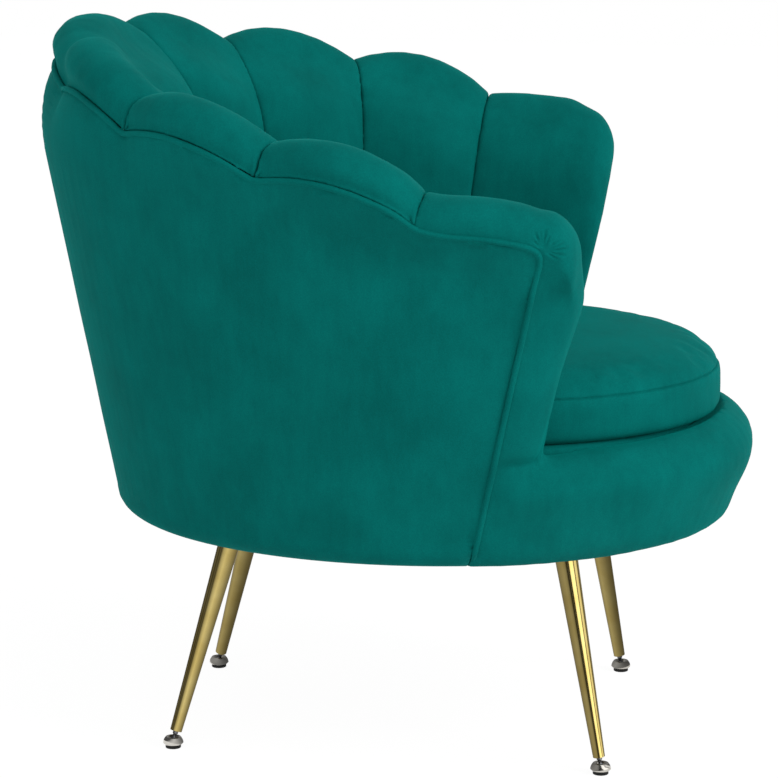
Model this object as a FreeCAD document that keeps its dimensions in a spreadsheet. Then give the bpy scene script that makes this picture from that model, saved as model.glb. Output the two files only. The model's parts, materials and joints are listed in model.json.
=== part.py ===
import FreeCAD, Part
import math
import os
import re
import Sketcher

# Scallop back lounge chair: a tub of nine padded petals round a boxed seat cushion, on four
# raked brass legs with tilting, screw-adjustable glides.
# Frame: millimetres, +Z up, front of the seat towards -Y, origin on the floor under the middle.

V = FreeCAD.Vector
UP = V(0, 0, 1)

SIZES = [
    # alias, value, what it is
    # --- outside wall of the tub, an oval that leans outwards ---
    ("BaseRound", 24, "radius of the rounded bottom edge"),
    ("WallHalfWidth", 285, "half width where the rounded edge ends"),
    ("WallRear", 301, "distance of the rear wall behind the origin there"),
    ("WallFront", 365, "distance of the oval's front before the origin there"),
    ("WallSideLean", 0.222, "outward lean of the side wall per mm of height"),
    ("WallRearLean", 0.196, "outward lean of the rear wall per mm of height"),
    ("WallCentreDrift", 0.1, "forward drift of the oval's centre per mm of height"),
    ("SeamRake", 1.3, "rake of the seams, as a share of the wall's own drift"),
    ("UnderHeight", 236, "height of the underside"),
    ("CoverThick", 3, "outside cover: cloth on board"),
    ("CoverBend", 70, "height over which the cover's top is drawn to the piping"),
    ("LipWidth", 12, "strip of cover turned in under the base"),
    # --- crest of the rolled back ---
    ("CrestHalfWidth", 329, "half width of the crest line at the arms"),
    ("CrestDepth", 354, "half depth of the crest oval"),
    ("CrestCentre", 62.6, "distance of the crest oval's centre before the origin"),
    ("CrestLevel", 633, "height at which the crest oval is measured"),
    ("CrestSideLean", 0.16, "outward lean of the crest per mm above that level, at the sides"),
    ("CrestRearLean", 0.15, "outward lean of the crest per mm above that level, at the rear"),
    ("SeamHeightRear", 730, "crest height at the seams beside the middle petal"),
    ("SeamHeightShoulder", 702.5, "crest height at the shoulder seams"),
    ("SeamHeightSide", 671, "crest height at the side seams"),
    ("SeamHeightArm", 633, "crest height at the arm seams"),
    ("ArmHeight", 620, "crest height at the arm fronts"),
    ("SeamAngleRear", 19.1, "angle of the rear seams from the middle of the rear"),
    ("SeamAngleShoulder", 44.3, "angle of the shoulder seams"),
    ("SeamAngleSide", 67.9, "angle of the side seams"),
    ("SeamAngleArm", 89.4, "angle of the arm seams"),
    ("ArmAngle", 105.4, "angle of the arm fronts"),
    ("SeamMargin", 0.12, "angle kept clear at each seam"),
    ("ScallopRise", 23, "rise of each petal between its seams"),
    ("CentreRise", 27, "rise of the middle petal"),
    ("ArmRiseShare", 0.35, "fullness of the short petal at the arm front, as a share"),
    ("PetalBulge", 8, "outward swelling of each petal's roll"),
    ("CentreBulge", 14, "outward swelling of the middle petal's roll"),
    ("PetalPuff", 13, "inward swelling of each petal's face"),
    ("PuffHeight", 150, "height above the deck at which the swelling is full"),
    ("RollOut", 35, "half width of the roll"),
    ("RollDeepSide", 25, "half height of the roll at the arms"),
    ("RollDeepRear", 30, "half height of the roll at the rear"),
    ("SeamTuck", 11, "turn below the roll's outermost line, at a seam, in degrees"),
    ("PetalTuck", 24, "the same in the middle of a petal"),
    ("InnerSag", 0.8, "how much of a petal's rise is lost on the roll's inner side"),
    ("RollOffset", 12.7, "distance of the roll's centre outside the crest line"),
    # --- inner face of the tub ---
    ("FaceHalfWidth", 238, "half width between the padded sides at the deck"),
    ("FaceRear", 182, "distance of the padded back behind the origin at the deck"),
    ("FaceSideLean", 0.2, "outward lean of the padded sides per mm of height"),
    ("FaceRearLean", 0.19, "outward lean of the padded back per mm of height"),
    ("FrameHalfWidth", 277, "half width between the ribs at the deck"),
    ("FrameRear", 259, "distance of the ribs behind the origin at the deck"),
    ("FrameSideLean", 0.2, "outward lean of the ribs' inner edge at the sides"),
    ("FrameRearLean", 0.17, "outward lean of the ribs' inner edge at the rear"),
    ("Gap", 0.4, "clearance between soft and hard pieces"),
    ("Step", 1, "least step between neighbouring corners of a section"),
    # --- piping ---
    ("PipingSize", 6, "diameter of the piping cord"),
    ("PipingInset", 1, "how far the cord sits inside the end of the roll"),
    ("CordProud", 1, "how far the arm cord stands proud of the wall"),
    ("PipingDrop", 40, "height over which the cord comes down onto the arm front's edge"),
    # --- arm fronts and base front ---
    ("ArmNose", 44, "forward swelling of an arm front"),
    ("ArmNoseInset", 20, "rounding of an arm front's edges"),
    ("ArmNoseDrop", 48, "rounding of an arm front's top"),
    ("ArmNoseTurn", 0.4, "how far an arm front's face turns towards the sitter, per mm of width"),
    ("NoseRecede", 0.19, "how much less the base front leans out than the wall"),
    ("NoseDrop", 38, "depth of its foremost line below its upper edge"),
    ("NoseBelly", 2, "extra swelling below that line"),
    ("NoseTuck", 5, "how far its foot is drawn in at the nose"),
    ("NoseRise", 8, "rise of its upper edge above the deck, against the cushion"),
    ("ApronRound", 30, "rounding of the base front's upper edge"),
    ("NoseSpan", 8.5, "angle that the base front runs flat, under an arm front"),
    ("ApronBlend", 55, "angle over which it rises from there to its top"),
    # --- seat ---
    ("CushionHalfWidth", 227, "half width of the seat cushion"),
    ("CushionFront", 348, "distance of the cushion's front before the origin"),
    ("CushionRear", 178, "distance of the cushion's rear behind the origin"),
    ("CushionThick", 81.6, "thickness of the cushion at its crown"),
    ("CushionCrown", 180, "width of the cushion's rounded border"),
    ("CushionFoot", 10, "inset of the cushion's underside"),
    ("CushionSkin", 3, "thickness of the cushion's cover and wadding"),
    ("DeckThick", 26.2, "thickness of the padding on the seat springs"),
    # --- timber ---
    ("BoardThick", 18, "plywood thickness"),
    ("EdgeInset", 26, "distance of the base board's edge inside the wall's foot"),
    ("DustInset", 37, "the same for the dust cover"),
    ("RingInset", 41, "the same for the seat ring"),
    ("RingWidth", 46, "width of the seat ring"),
    ("RailHigh", 32, "height of the bent top rail"),
    ("RailWide", 20, "thickness of the bent top rail"),
    ("RailDrop", 50, "depth of the rail's top below the crest"),
    ("BlockLong", 50, "length of a seat block"),
    ("BlockDeep", 32, "depth of a seat block"),
    ("BlockHigh", 43, "height of a seat block"),
    # --- springs ---
    ("SpringWire", 3.4, "diameter of the zigzag spring wire"),
    ("SpringPitch", 74, "spacing of the springs"),
    ("SpringHalf", 24, "half width of a spring's zigzag"),
    ("SpringBars", 11, "cross bars of a spring"),
    ("SpringRest", 8, "how far a spring's end bar lies on the seat ring"),
    ("ClipLong", 24, "length of a spring clip"),
    ("ClipWide", 12, "width of a spring clip"),
    ("ClipHigh", 5.4, "height of a spring clip"),
    ("ClipPlay", 0.1, "clearance of a clip's channel round the wire"),
    # --- legs ---
    ("FootFrontX", 188, "half spacing of the front feet"),
    ("FootFrontY", 233, "distance of the front feet before the origin"),
    ("FootBackX", 151, "half spacing of the back feet"),
    ("FootBackY", 221, "distance of the back feet behind the origin"),
    ("RakeFrontX", 0.04, "sideways rake of the front legs"),
    ("RakeFrontY", 0.175, "forward rake of the front legs"),
    ("RakeBackX", 0.22, "sideways rake of the back legs"),
    ("RakeBackY", 0.266, "backward rake of the back legs"),
    ("LegTop", 24, "diameter of a leg at the top"),
    ("LegEnd", 12.5, "diameter of a leg at the foot"),
    ("LegWall", 1.2, "wall of a leg"),
    ("LegSpare", 20, "spare length of a leg before its top is cut level"),
    ("PlateSize", 50, "diameter of a leg's mounting plate"),
    ("PlateThick", 4, "thickness of a mounting plate"),
    ("ScrewCircle", 38, "diameter of the circle of screws"),
    ("ScrewCount", 3, "screws in a mounting plate"),
    ("ScrewSize", 4, "diameter of a plate screw"),
    ("ScrewPlay", 0.1, "clearance round a plate screw"),
    ("ScrewLong", 20, "length of a plate screw below its head"),
    ("ScrewHead", 7.6, "diameter of a screw head"),
    ("ScrewHeadHigh", 2.2, "height of a screw head"),
    # --- glides ---
    ("BallHeight", 7.6, "height of the ball's centre"),
    ("BallSize", 8, "diameter of the ball"),
    ("BallPlay", 0.06, "running clearance of ball and thread"),
    ("NeckSize", 4, "diameter of the neck"),
    ("NeckLong", 7.5, "distance from the ball's centre to the thread"),
    ("StudSize", 6, "diameter of the stud"),
    ("StudLong", 34, "length of the thread"),
    ("LegLift", 10.5, "distance from the ball's centre to the leg's end, along the leg"),
    ("InsertLong", 15, "length of the threaded insert"),
    ("InsertFit", 0.05, "clearance of the insert in the leg"),
    ("DomeSize", 21.6, "diameter of the dome"),
    ("DomeLow", 5.5, "height of the dome's widest line"),
    ("DomeTop", 12, "height of the dome's rim"),
    ("DomeCentre", 4.42, "height of the centre of the dome's curve"),
    ("DomeRadius", 10.85, "radius of the dome's curve"),
    ("DomeEdge", 2, "bevel below the dome's widest line"),
    ("DomeMouth", 9.6, "height where the dome's mouth is narrowest"),
    ("DomeBore", 5, "bore under the ball"),
    ("PadSize", 16.4, "diameter of the foot pad"),
    ("PadThick", 3.5, "thickness of the foot pad"),
    ("PadEdge", 0.8, "bevel of the foot pad"),
    ("DustThick", 1, "thickness of the dust cover"),
]

doc = FreeCAD.newDocument("ScallopChair")
sheet = doc.addObject("Spreadsheet::Sheet", "Sizes")
for row, (alias, value, note) in enumerate(SIZES, start=1):
    sheet.set("A%d" % row, note)
    sheet.set("B%d" % row, str(value))
    sheet.setAlias("B%d" % row, alias)
doc.recompute()


def size(alias):
    return float(sheet.get(alias))


# ---------------------------------------------------------------- levels, from the underside up

BOARD_LOW = "UnderHeight + CoverThick"
BOARD_TOP = BOARD_LOW + " + BoardThick"
RING_TOP = BOARD_TOP + " + BlockHigh + BoardThick"
PAD_LOW = RING_TOP + " + ClipHigh + Gap"


def wall_base():
    """Height where the rounded bottom edge ends."""
    return size("UnderHeight") + size("BaseRound")


def board_top():
    return size("UnderHeight") + size("CoverThick") + size("BoardThick")


def ring_top():
    return board_top() + size("BlockHigh") + size("BoardThick")


def deck_height():
    return ring_top() + size("ClipHigh") + size("Gap") + size("DeckThick")


# ---------------------------------------------------------------- ovals of the tub

def wall_oval(height):
    """Half width, half depth and centre of the outside wall at a height."""
    rise = height - wall_base()
    base_centre = (size("WallRear") - size("WallFront")) / 2
    centre = base_centre - size("WallCentreDrift") * rise
    rear = size("WallRear") + size("WallRearLean") * rise
    return size("WallHalfWidth") + size("WallSideLean") * rise, rear - centre, centre


def leaning_oval(name, height):
    """The same for the padded face (Face) and the ribs' inner edge (Frame)."""
    rise = height - deck_height()
    centre = -size("CrestCentre")
    rear = size(name + "Rear") + size(name + "RearLean") * rise
    return size(name + "HalfWidth") + size(name + "SideLean") * rise, rear - centre, centre


def face_oval(height):
    return leaning_oval("Face", height)


def frame_oval(height):
    return leaning_oval("Frame", height)


def oval_point(oval, angle, inset=0.0):
    half_width, half_depth, centre = oval
    turn = math.radians(angle)
    return V((half_width - inset) * math.sin(turn), centre + (half_depth - inset) * math.cos(turn), 0)


# ---------------------------------------------------------------- section planes of the tub
# Every section stands on the crest oval, looks outwards along its normal and leans with the wall.

class Section:
    def __init__(self, angle):
        self.angle = angle
        turn = math.radians(angle)
        wide, deep = size("CrestHalfWidth"), size("CrestDepth")
        self.origin = V(wide * math.sin(turn), deep * math.cos(turn) - size("CrestCentre"), 0)
        self.out = V(math.sin(turn) / wide, math.cos(turn) / deep, 0)
        self.out.normalize()
        self.along = V(self.out.y, -self.out.x, 0)    # towards larger angles
        low, high = wall_base(), size("CrestLevel")
        top = oval_point(wall_oval(high), angle)
        drift = (top - oval_point(wall_oval(low), angle)).dot(self.along)
        self.lean = size("SeamRake") * drift / (high - low)
        self.start = (top - self.origin).dot(self.along)

    def base(self, height):
        return self.origin + self.along * (self.start + self.lean * (height - size("CrestLevel")))

    def reach(self, oval_of, height, ahead=0.0):
        """Distance along the section's outward direction to an oval, at a height and a distance ahead."""
        half_width, half_depth, centre = oval_of(height)
        base = self.base(height) + self.along * ahead
        px, py = base.x / half_width, (base.y - centre) / half_depth
        dx, dy = self.out.x / half_width, self.out.y / half_depth
        a, b, c = dx * dx + dy * dy, 2 * (px * dx + py * dy), px * px + py * py - 1
        return (-b + math.sqrt(b * b - 4 * a * c)) / (2 * a)

    def point(self, reach, height, ahead=0.0):
        place = self.base(height) + self.out * reach + self.along * ahead
        return V(place.x, place.y, height)


def seam_angles():
    """Angles of the seams on one side, from the rear to the arm front."""
    return [size("SeamAngleRear"), size("SeamAngleShoulder"), size("SeamAngleSide"),
            size("SeamAngleArm"), size("ArmAngle")]


def seam_heights():
    return [size("SeamHeightRear"), size("SeamHeightShoulder"), size("SeamHeightSide"),
            size("SeamHeightArm"), size("ArmHeight")]


def petal_share(angle):
    """Index of the petal at an angle, and how far the angle lies across it, from 0 to 1."""
    turn = abs(angle)
    angles = seam_angles()
    if turn <= angles[0]:
        return 0, (turn + angles[0]) / (2 * angles[0])
    for index in range(1, len(angles)):
        if turn <= angles[index] + 1e-9:
            return index, (turn - angles[index - 1]) / (angles[index] - angles[index - 1])
    return len(angles) - 1, 1.0


def seam_line(angle):
    """Height of the crest without its scallops."""
    index, share = petal_share(angle)
    heights = seam_heights()
    if index == 0:
        return heights[0]
    return heights[index - 1] + (heights[index] - heights[index - 1]) * share


def swell(angle):
    """Fullness of the petal at an angle: 0 at its seams, 1 in its middle."""
    index, share = petal_share(angle)
    full = 1 - (2 * share - 1) ** 2
    return full * (size("ArmRiseShare") if index == len(seam_angles()) - 1 else 1.0)


def of_petal(side_alias, centre_alias, section):
    """A size of the petal that a section lies in: the middle petal has its own."""
    return size(centre_alias if abs(section.angle) <= size("SeamAngleRear") else side_alias)


def crest(section):
    """Reach and height of the crest at a section."""
    rise = of_petal("ScallopRise", "CentreRise", section)
    height = seam_line(section.angle) + rise * swell(section.angle)
    above = seam_line(section.angle) - size("CrestLevel")
    turn = math.radians(section.angle)
    lean = size("CrestSideLean") * math.sin(turn) ** 2 + size("CrestRearLean") * math.cos(turn) ** 2
    return lean * above, height


def roll_deep(section):
    """Half height of the roll: deepest at the rear, slimmer towards the arms."""
    rear = max(0.0, math.cos(math.radians(section.angle))) ** 4
    return size("RollDeepSide") + (size("RollDeepRear") - size("RollDeepSide")) * rear


def roll_point(section, degrees):
    """A point of the roll's outline; 0 is outermost, 90 the top, 180 the inner side."""
    reach, height = crest(section)
    turn = math.radians(degrees)
    deep, full = roll_deep(section), swell(section.angle)
    bulge = of_petal("PetalBulge", "CentreBulge", section) * full
    out = size("RollOut") + (bulge if math.cos(turn) > 0 else 0)
    sag = size("ScallopRise") * full * size("InnerSag") * max(0.0, -math.cos(turn))
    return reach + size("RollOffset") + out * math.cos(turn), height - deep + deep * math.sin(turn) - sag


def roll_end(section):
    """Where the roll is sewn to the piping: tucked further under where the petal is full."""
    return -size("SeamTuck") - (size("PetalTuck") - size("SeamTuck")) * swell(section.angle)


def roll_stops(section):
    end = roll_end(section)
    return (end, end * 0.4 + 8, 42, 75, 108, 145)


def piping_point(section):
    reach, height = roll_point(section, roll_end(section))
    return reach - size("PipingInset"), height - size("Gap") - size("PipingSize") / 2


def face_reach(section, height):
    """Reach of the padded face: hollow at the seams, full between them, flatter at the deck."""
    share = 0.3 + 0.7 * min(1.0, (height - deck_height()) / size("PuffHeight"))
    return section.reach(face_oval, height) - size("PetalPuff") * share * swell(section.angle)


def cover_top(section):
    """Height of the outside cover's upper edge, just under the piping."""
    return piping_point(section)[1] - size("PipingSize") / 2 - size("Gap")


def cover_reach(section, height, ahead=0.0):
    """Reach of the outside cover: the wall, drawn to the piping near its upper edge."""
    top = cover_top(section)
    share = max(0.0, (height - top) / size("CoverBend") + 1)
    shift = piping_point(section)[0] - section.reach(wall_oval, top)
    return section.reach(wall_oval, height, ahead) + shift * share ** 2


def skin_reach(section, height, ahead=0.0):
    """Reach of whatever lies against the inside of the outside cover."""
    return cover_reach(section, height, ahead) - size("CoverThick") - size("Gap")


def rail_top(section):
    return seam_line(section.angle) - size("RailDrop")


# ---------------------------------------------------------------- helpers for shapes

def spline(points, stops=None):
    """A smooth edge through points; edges that share their stops loft into a light surface."""
    curve = Part.BSplineCurve()
    curve.interpolate(Points=points, Parameters=stops or even_stops(points))
    return curve.toShape()


def even_stops(points):
    return [i / (len(points) - 1) for i in range(len(points))]


def run_stops(points):
    """Parameters in step with the distance between points."""
    stops = [0.0]
    for a, b in zip(points, points[1:]):
        stops.append(stops[-1] + (b - a).Length)
    return [stop / stops[-1] for stop in stops]


def polyline_edges(points):
    return [Part.LineSegment(a, b).toShape() for a, b in zip(points, points[1:])]


def solid_loft(wires):
    """Straight between neighbouring sections, which stand close enough to read as a curve."""
    return Part.makeLoft(wires, True, True)


def spread(start, end, count):
    return [start + (end - start) * i / (count - 1) for i in range(count)]


def feature(name, shape):
    """A sub-part with a shape of its own."""
    item = doc.addObject("Part::Feature", name)
    item.Label = name
    item.Shape = shape
    return keep(item)


def keep(item):
    parts.append(item)
    return item


def largest(shape):
    return max(shape.Solids, key=lambda solid: solid.Volume)


def mirrored(shape):
    return shape.mirror(V(0, 0, 0), V(1, 0, 0))


def both_sides(name, shape):
    feature(name % "left", shape)
    feature(name % "right", mirrored(shape))


WORDS = re.compile(r"\b(%s)\b" % "|".join(alias for alias, _, _ in SIZES))


def bind(item, target, formula):
    """Tie a property to a formula written in the words of the size sheet."""
    item.setExpression(target, WORDS.sub(r"Sizes.\1", formula))


def primitive(kind, name, place=None, **formulas):
    """A Part primitive whose properties follow formulas."""
    item = doc.addObject("Part::" + kind, name)
    item.Label = name
    for target, formula in formulas.items():
        bind(item, target, formula)
    if place is not None:
        item.Placement = place
    return item


def cut(name, base, tool):
    item = doc.addObject("Part::Cut", name)
    item.Label = name
    item.Base = base
    item.Tool = tool
    return item


def group(kind, name, items):
    """Several items as one: MultiFuse joins them, Compound keeps them apart."""
    item = doc.addObject("Part::" + kind, name)
    item.Label = name
    if kind == "MultiFuse":
        item.Shapes = items
    else:
        item.Links = items
    return item


def origin_plane(body, role):
    return next(item for item in body.Origin.OriginFeatures if item.Role == role)


def sketch_on(body, role):
    sketch = body.newObject("Sketcher::SketchObject", body.Name + "_sketch")
    sketch.AttachmentSupport = [(origin_plane(body, role), "")]
    sketch.MapMode = "FlatFace"
    return sketch


def pin(sketch, line, end, across, up):
    """Tie a point of a sketch to two formulas, measured from the sketch's origin."""
    for kind, formula in (("DistanceX", across), ("DistanceY", up)):
        index = sketch.addConstraint(Sketcher.Constraint(kind, -1, 1, line, end, 1.0))
        bind(sketch, "Constraints[%d]" % index, formula)


def turned(name, corners, place):
    """A body turned about its own Z axis from corners given as (radius, height) formulas."""
    body = doc.addObject("PartDesign::Body", name)
    body.Label = name
    sketch = sketch_on(body, "XZ_Plane")
    count = len(corners)
    ring = [V(20 + 10 * math.cos(2 * math.pi * i / count), 10 * math.sin(2 * math.pi * i / count), 0)
            for i in range(count)]
    for index in range(count):
        sketch.addGeometry(Part.LineSegment(ring[index], ring[(index + 1) % count]), False)
    for index in range(count):
        sketch.addConstraint(Sketcher.Constraint("Coincident", index, 2, (index + 1) % count, 1))
    for index, (across, up) in enumerate(corners):
        pin(sketch, index, 1, across, up)
    revolve = body.newObject("PartDesign::Revolution", name + "_turn")
    revolve.Profile = sketch
    revolve.ReferenceAxis = (sketch, ["V_Axis"])
    revolve.Angle = 360
    body.Placement = place
    return body


parts = []


# ---------------------------------------------------------------- petals

def petal_wire(angle, stops=None):
    section = Section(angle)
    gap = size("Gap")
    deck = deck_height() + gap
    _, top = crest(section)
    face_stop = top - roll_deep(section) * 2.4
    visible = [section.point(face_reach(section, z), z) for z in spread(deck, face_stop, 4)]
    rolled = [section.point(*roll_point(section, stop)) for stop in reversed(roll_stops(section))]
    end_reach, end_height = roll_point(section, roll_end(section))
    rail = rail_top(section) + gap
    hidden = [rolled[-1],
              section.point(end_reach - size("PipingSize"), end_height),
              section.point(skin_reach(section, rail) - size("PipingSize"), rail),
              section.point(section.reach(frame_oval, rail) - gap, rail),
              section.point(section.reach(frame_oval, deck) - gap, deck),
              visible[0]]
    shown = visible + rolled
    edges = [spline(shown, stops or run_stops(shown))] + polyline_edges(hidden)
    return Part.Wire(edges), run_stops(shown)


def petal(start, end):
    margin = size("SeamMargin")
    angles = spread(start + margin, end - margin, 9)
    _, stops = petal_wire(angles[4])
    return solid_loft([petal_wire(angle, stops)[0] for angle in angles])


def build_petals():
    angles = seam_angles()
    feature("petal_centre", petal(-angles[0], angles[0]))
    for index, (start, end) in enumerate(zip(angles, angles[1:]), start=1):
        both_sides("petal_%%s_%d" % index, petal(start, end))


# ---------------------------------------------------------------- outside cover

def cover_wire(angle):
    """Outline of the thin cover in one section: turned-in lip, round bottom edge, wall."""
    section = Section(angle)
    low, under = wall_base(), size("UnderHeight")
    foot = section.reach(wall_oval, low)
    round_size = low - under
    top = cover_top(section)
    bend = top - size("CoverBend")

    def skin(depth):
        """Lip, round edge, wall and bent top of the skin's outer or inner side."""
        arm = round_size - depth
        lip = section.point(foot - round_size - size("LipWidth"), under + depth)
        corner = []
        for degrees in (0, 45, 90):
            turn = math.radians(degrees)
            reach = foot - round_size + arm * math.sin(turn)
            corner.append(section.point(reach, low - arm * math.cos(turn)))
        upper = [section.point(cover_reach(section, z) - depth, z) for z in (bend, (bend + top) / 2, top)]
        return lip, corner, upper

    lip, corner, upper = skin(0)
    lip_in, corner_in, upper_in = skin(size("CoverThick"))
    edges = polyline_edges([lip, corner[0]]) + [Part.Arc(*corner).toShape()]
    edges += polyline_edges([corner[2], upper[0]]) + [spline(upper)]
    edges += polyline_edges([upper[2], upper_in[2]])
    edges += [spline(upper_in[::-1])] + polyline_edges([upper_in[0], corner_in[2]])
    edges += [Part.Arc(*corner_in[::-1]).toShape()] + polyline_edges([corner_in[0], lip_in, lip])
    return Part.Wire(edges)


def build_outside_cover():
    angles = seam_angles()
    half = []
    for start, end in zip(angles, angles[1:]):
        half.append(solid_loft([cover_wire(angle) for angle in spread(start, end, 9)]))
    rear = solid_loft([cover_wire(angle) for angle in spread(-angles[0], angles[0], 9)])
    feature("outside_cover", rear.multiFuse(half + [mirrored(shape) for shape in half]))


# ---------------------------------------------------------------- piping

CORD_FLAT_COUNT = 12
WIRE_FLAT_COUNT = 8


def cord_along(points, radius, flats):
    """A cord or wire of short straight runs, mitred where they meet, with flats for a round section."""
    run = points[1] - points[0]
    turn = FreeCAD.Rotation(UP, run)
    corners = [points[0] + turn.multVec(V(radius * math.cos(a), radius * math.sin(a), 0))
               for a in (2 * math.pi * index / flats for index in range(flats + 1))]
    return Part.makePolygon(points).makePipeShell([Part.makePolygon(corners)], True, False, 1)


def arm_cord_path():
    """The piping from the end of the last petal forward and down the arm front's outer edge."""
    section = Section(size("ArmAngle"))
    reach, height = piping_point(section)
    ahead = size("PipingSize") / 2 + size("Gap")
    drop = height - size("PipingDrop")
    low = wall_base()
    proud = size("CordProud")
    return [section.point(reach, height - proud, ahead),
            section.point(section.reach(wall_oval, drop) + proud, drop, ahead),
            section.point(section.reach(wall_oval, low) + proud, low, ahead)]


def arm_cord_room():
    """What the arm cord takes out of the pieces it lies between."""
    section = Section(size("ArmAngle"))
    start = section.point(*piping_point(section))
    return cord_along([start] + arm_cord_path(), size("PipingSize") / 2 + size("Gap"), CORD_FLAT_COUNT)


def build_piping():
    path = [Section(0).point(*piping_point(Section(0)))]
    angles = [0.0] + seam_angles()
    for start, end in zip(angles, angles[1:]):
        for angle in spread(start, end, 9 if start else 5)[1:]:
            section = Section(angle)
            path.append(section.point(*piping_point(section)))
    path += arm_cord_path()
    other_side = [V(-point.x, point.y, point.z) for point in path[:0:-1]]
    feature("piping", cord_along(other_side + path, size("PipingSize") / 2, CORD_FLAT_COUNT))


# ---------------------------------------------------------------- arm fronts

def arm_wire(section, degrees):
    """Outline of an arm front at a turn round its nose: 0 at its back, 90 foremost."""
    turn = math.radians(degrees)
    ahead = size("Gap") + size("ArmNose") * math.sin(turn)
    inset = size("ArmNoseInset") * (1 - math.cos(turn))
    sink = size("ArmNoseDrop") * (1 - math.cos(turn))
    deck = deck_height() + size("Gap")
    _, top = crest(section)
    stop = top - roll_deep(section) * 2.6 - sink
    outer = [(section.reach(wall_oval, z) - inset, z) for z in spread(deck, stop, 3)]
    inner = [(face_reach(section, z) + inset, z) for z in spread(deck, stop, 3)]
    middle_reach, _ = roll_point(section, 90)
    scale = 1 - inset / size("RollOut")
    rolled = []
    for stop_degrees in (-20, 20, 60, 90, 120, 155):
        reach, height = roll_point(section, stop_degrees)
        rolled.append((middle_reach + (reach - middle_reach) * scale, height - sink))
    face_turn = size("ArmNoseTurn") * math.sin(turn)
    line = [section.point(r, z, ahead + face_turn * (middle_reach - r))
            for r, z in outer + rolled + inner[::-1]]
    return Part.Wire([spline(line, run_stops(line))] + polyline_edges([line[-1], line[0]]))


def build_arm_fronts():
    section = Section(size("ArmAngle"))
    shape = solid_loft([arm_wire(section, degrees) for degrees in (0, 16, 32, 47, 61, 73, 82)])
    both_sides("arm_front_%s", largest(shape.cut(arm_cord_room())))


# ---------------------------------------------------------------- seat cushion

CUSHION_EDGE = [
    # height as a share of the cushion's, inset as a share of the rounded border
    (0.0, 0.055), (0.05, 0.022), (0.3, 0.0), (0.51, 0.008), (0.67, 0.039), (0.78, 0.09), (0.87, 0.2),
    (0.94, 0.42), (1.0, 1.0),
]


def cushion_oval(inset):
    front, rear = size("CushionFront"), size("CushionRear")
    return size("CushionHalfWidth") - inset, (front + rear) / 2 - inset, (rear - front) / 2


def cushion_wire(inset, height):
    half_width, half_depth, centre = cushion_oval(inset)
    middle = V(0, centre, height)
    oval = Part.Ellipse(middle + V(0, half_depth, 0), middle + V(half_width, 0, 0), middle)
    return Part.Wire([oval.toShape()])


def cushion_shape(skin, edge):
    """The cushion, or what is left of it under a skin."""
    low = deck_height() + size("Gap") + skin
    thick = size("CushionThick") - 2 * skin
    return solid_loft([cushion_wire(inset * size("CushionCrown") + skin, low + thick * share)
                       for share, inset in edge])


def build_cushion():
    skin, core = size("CushionSkin"), CUSHION_EDGE[::2]
    feature("seat_cushion_cover", cushion_shape(0, CUSHION_EDGE).cut(cushion_shape(skin, core)))
    feature("seat_cushion_foam", cushion_shape(skin + size("Gap") / 2, core))


# ---------------------------------------------------------------- base front

def nose_reach(section, height):
    """Reach of the bowed base front: the wall oval at the arms, steeper towards the nose."""
    share = (abs(section.angle) - size("ArmAngle")) / (180 - size("ArmAngle"))
    rise = height - wall_base()
    return section.reach(wall_oval, height) - share * size("NoseRecede") * rise


def foot_oval(inset):
    """The flat timber's outline: the wall's foot, drawn in by an inset."""
    def oval(_):
        half_width, half_depth, centre = wall_oval(wall_base())
        return half_width - inset, half_depth - inset, centre
    return oval


def apron_wire(angle, stops=None):
    section = Section(angle)
    gap = size("Gap")
    under, low = size("UnderHeight"), wall_base()
    deck = deck_height()
    nose_height = deck + size("NoseRise") - size("NoseDrop")
    past = abs(angle) - size("ArmAngle")
    blend = max(0.0, min(1.0, (past - size("NoseSpan")) / size("ApronBlend")))
    top = deck - gap + size("NoseRise") * blend
    tuck = size("NoseTuck") * past / (180 - size("ArmAngle"))
    foot, nose = nose_reach(section, low) - tuck, nose_reach(section, nose_height)
    round_size = low - under
    turn = math.radians(45)
    fall = size("ApronRound") * (0.2 + 0.8 * min(1.0, past / size("NoseSpan")))
    middle = (low + nose_height) / 2
    board_edge, ring_edge = foot_oval(size("EdgeInset")), foot_oval(size("RingInset"))
    beside_ring = section.reach(ring_edge, deck) + gap
    step = size("Step")
    below_cushion = max(section.reach(lambda _: cushion_oval(size("CushionFoot")), deck) + 2 * gap,
                        beside_ring + step)
    beside = max(section.reach(lambda _: cushion_oval(step), top) + 2 * gap, below_cushion + step)
    outline = [(foot - round_size, under),
               (foot - round_size + round_size * math.sin(turn), low - round_size * math.cos(turn)),
               (foot, low),
               (nose_reach(section, middle) + size("NoseBelly") * blend, middle),
               (nose, nose_height),
               (nose - 0.2 * fall, top - 0.8 * fall),
               (nose - 0.55 * fall, top - 0.27 * fall),
               (max(nose - fall, beside + step), top)]
    board = under + size("CoverThick")
    above_board = board_top() + gap
    lip_edge = foot_oval(low - under + size("LipWidth"))
    hidden = [outline[-1], (beside, top), (below_cushion, deck - gap), (beside_ring, deck - gap),
              (section.reach(ring_edge, above_board) + gap, above_board),
              (section.reach(board_edge, above_board) + gap, above_board),
              (section.reach(board_edge, board) + gap, board), (section.reach(lip_edge, board), board),
              (section.reach(lip_edge, under), under), outline[0]]
    curve = [section.point(r, z) for r, z in outline]
    edges = polyline_edges([section.point(r, z) for r, z in hidden])
    return Part.Wire([spline(curve, stops or run_stops(curve))] + edges), run_stops(curve)


def build_base_front():
    _, stops = apron_wire(180)
    start = size("ArmAngle") + size("SeamMargin")
    half = solid_loft([apron_wire(angle, stops)[0] for angle in spread(start, 180, 19)])
    half = largest(half.cut(arm_cord_room()))
    feature("base_front", half.fuse(mirrored(half)))


# ---------------------------------------------------------------- flat timber and deck pad

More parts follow.
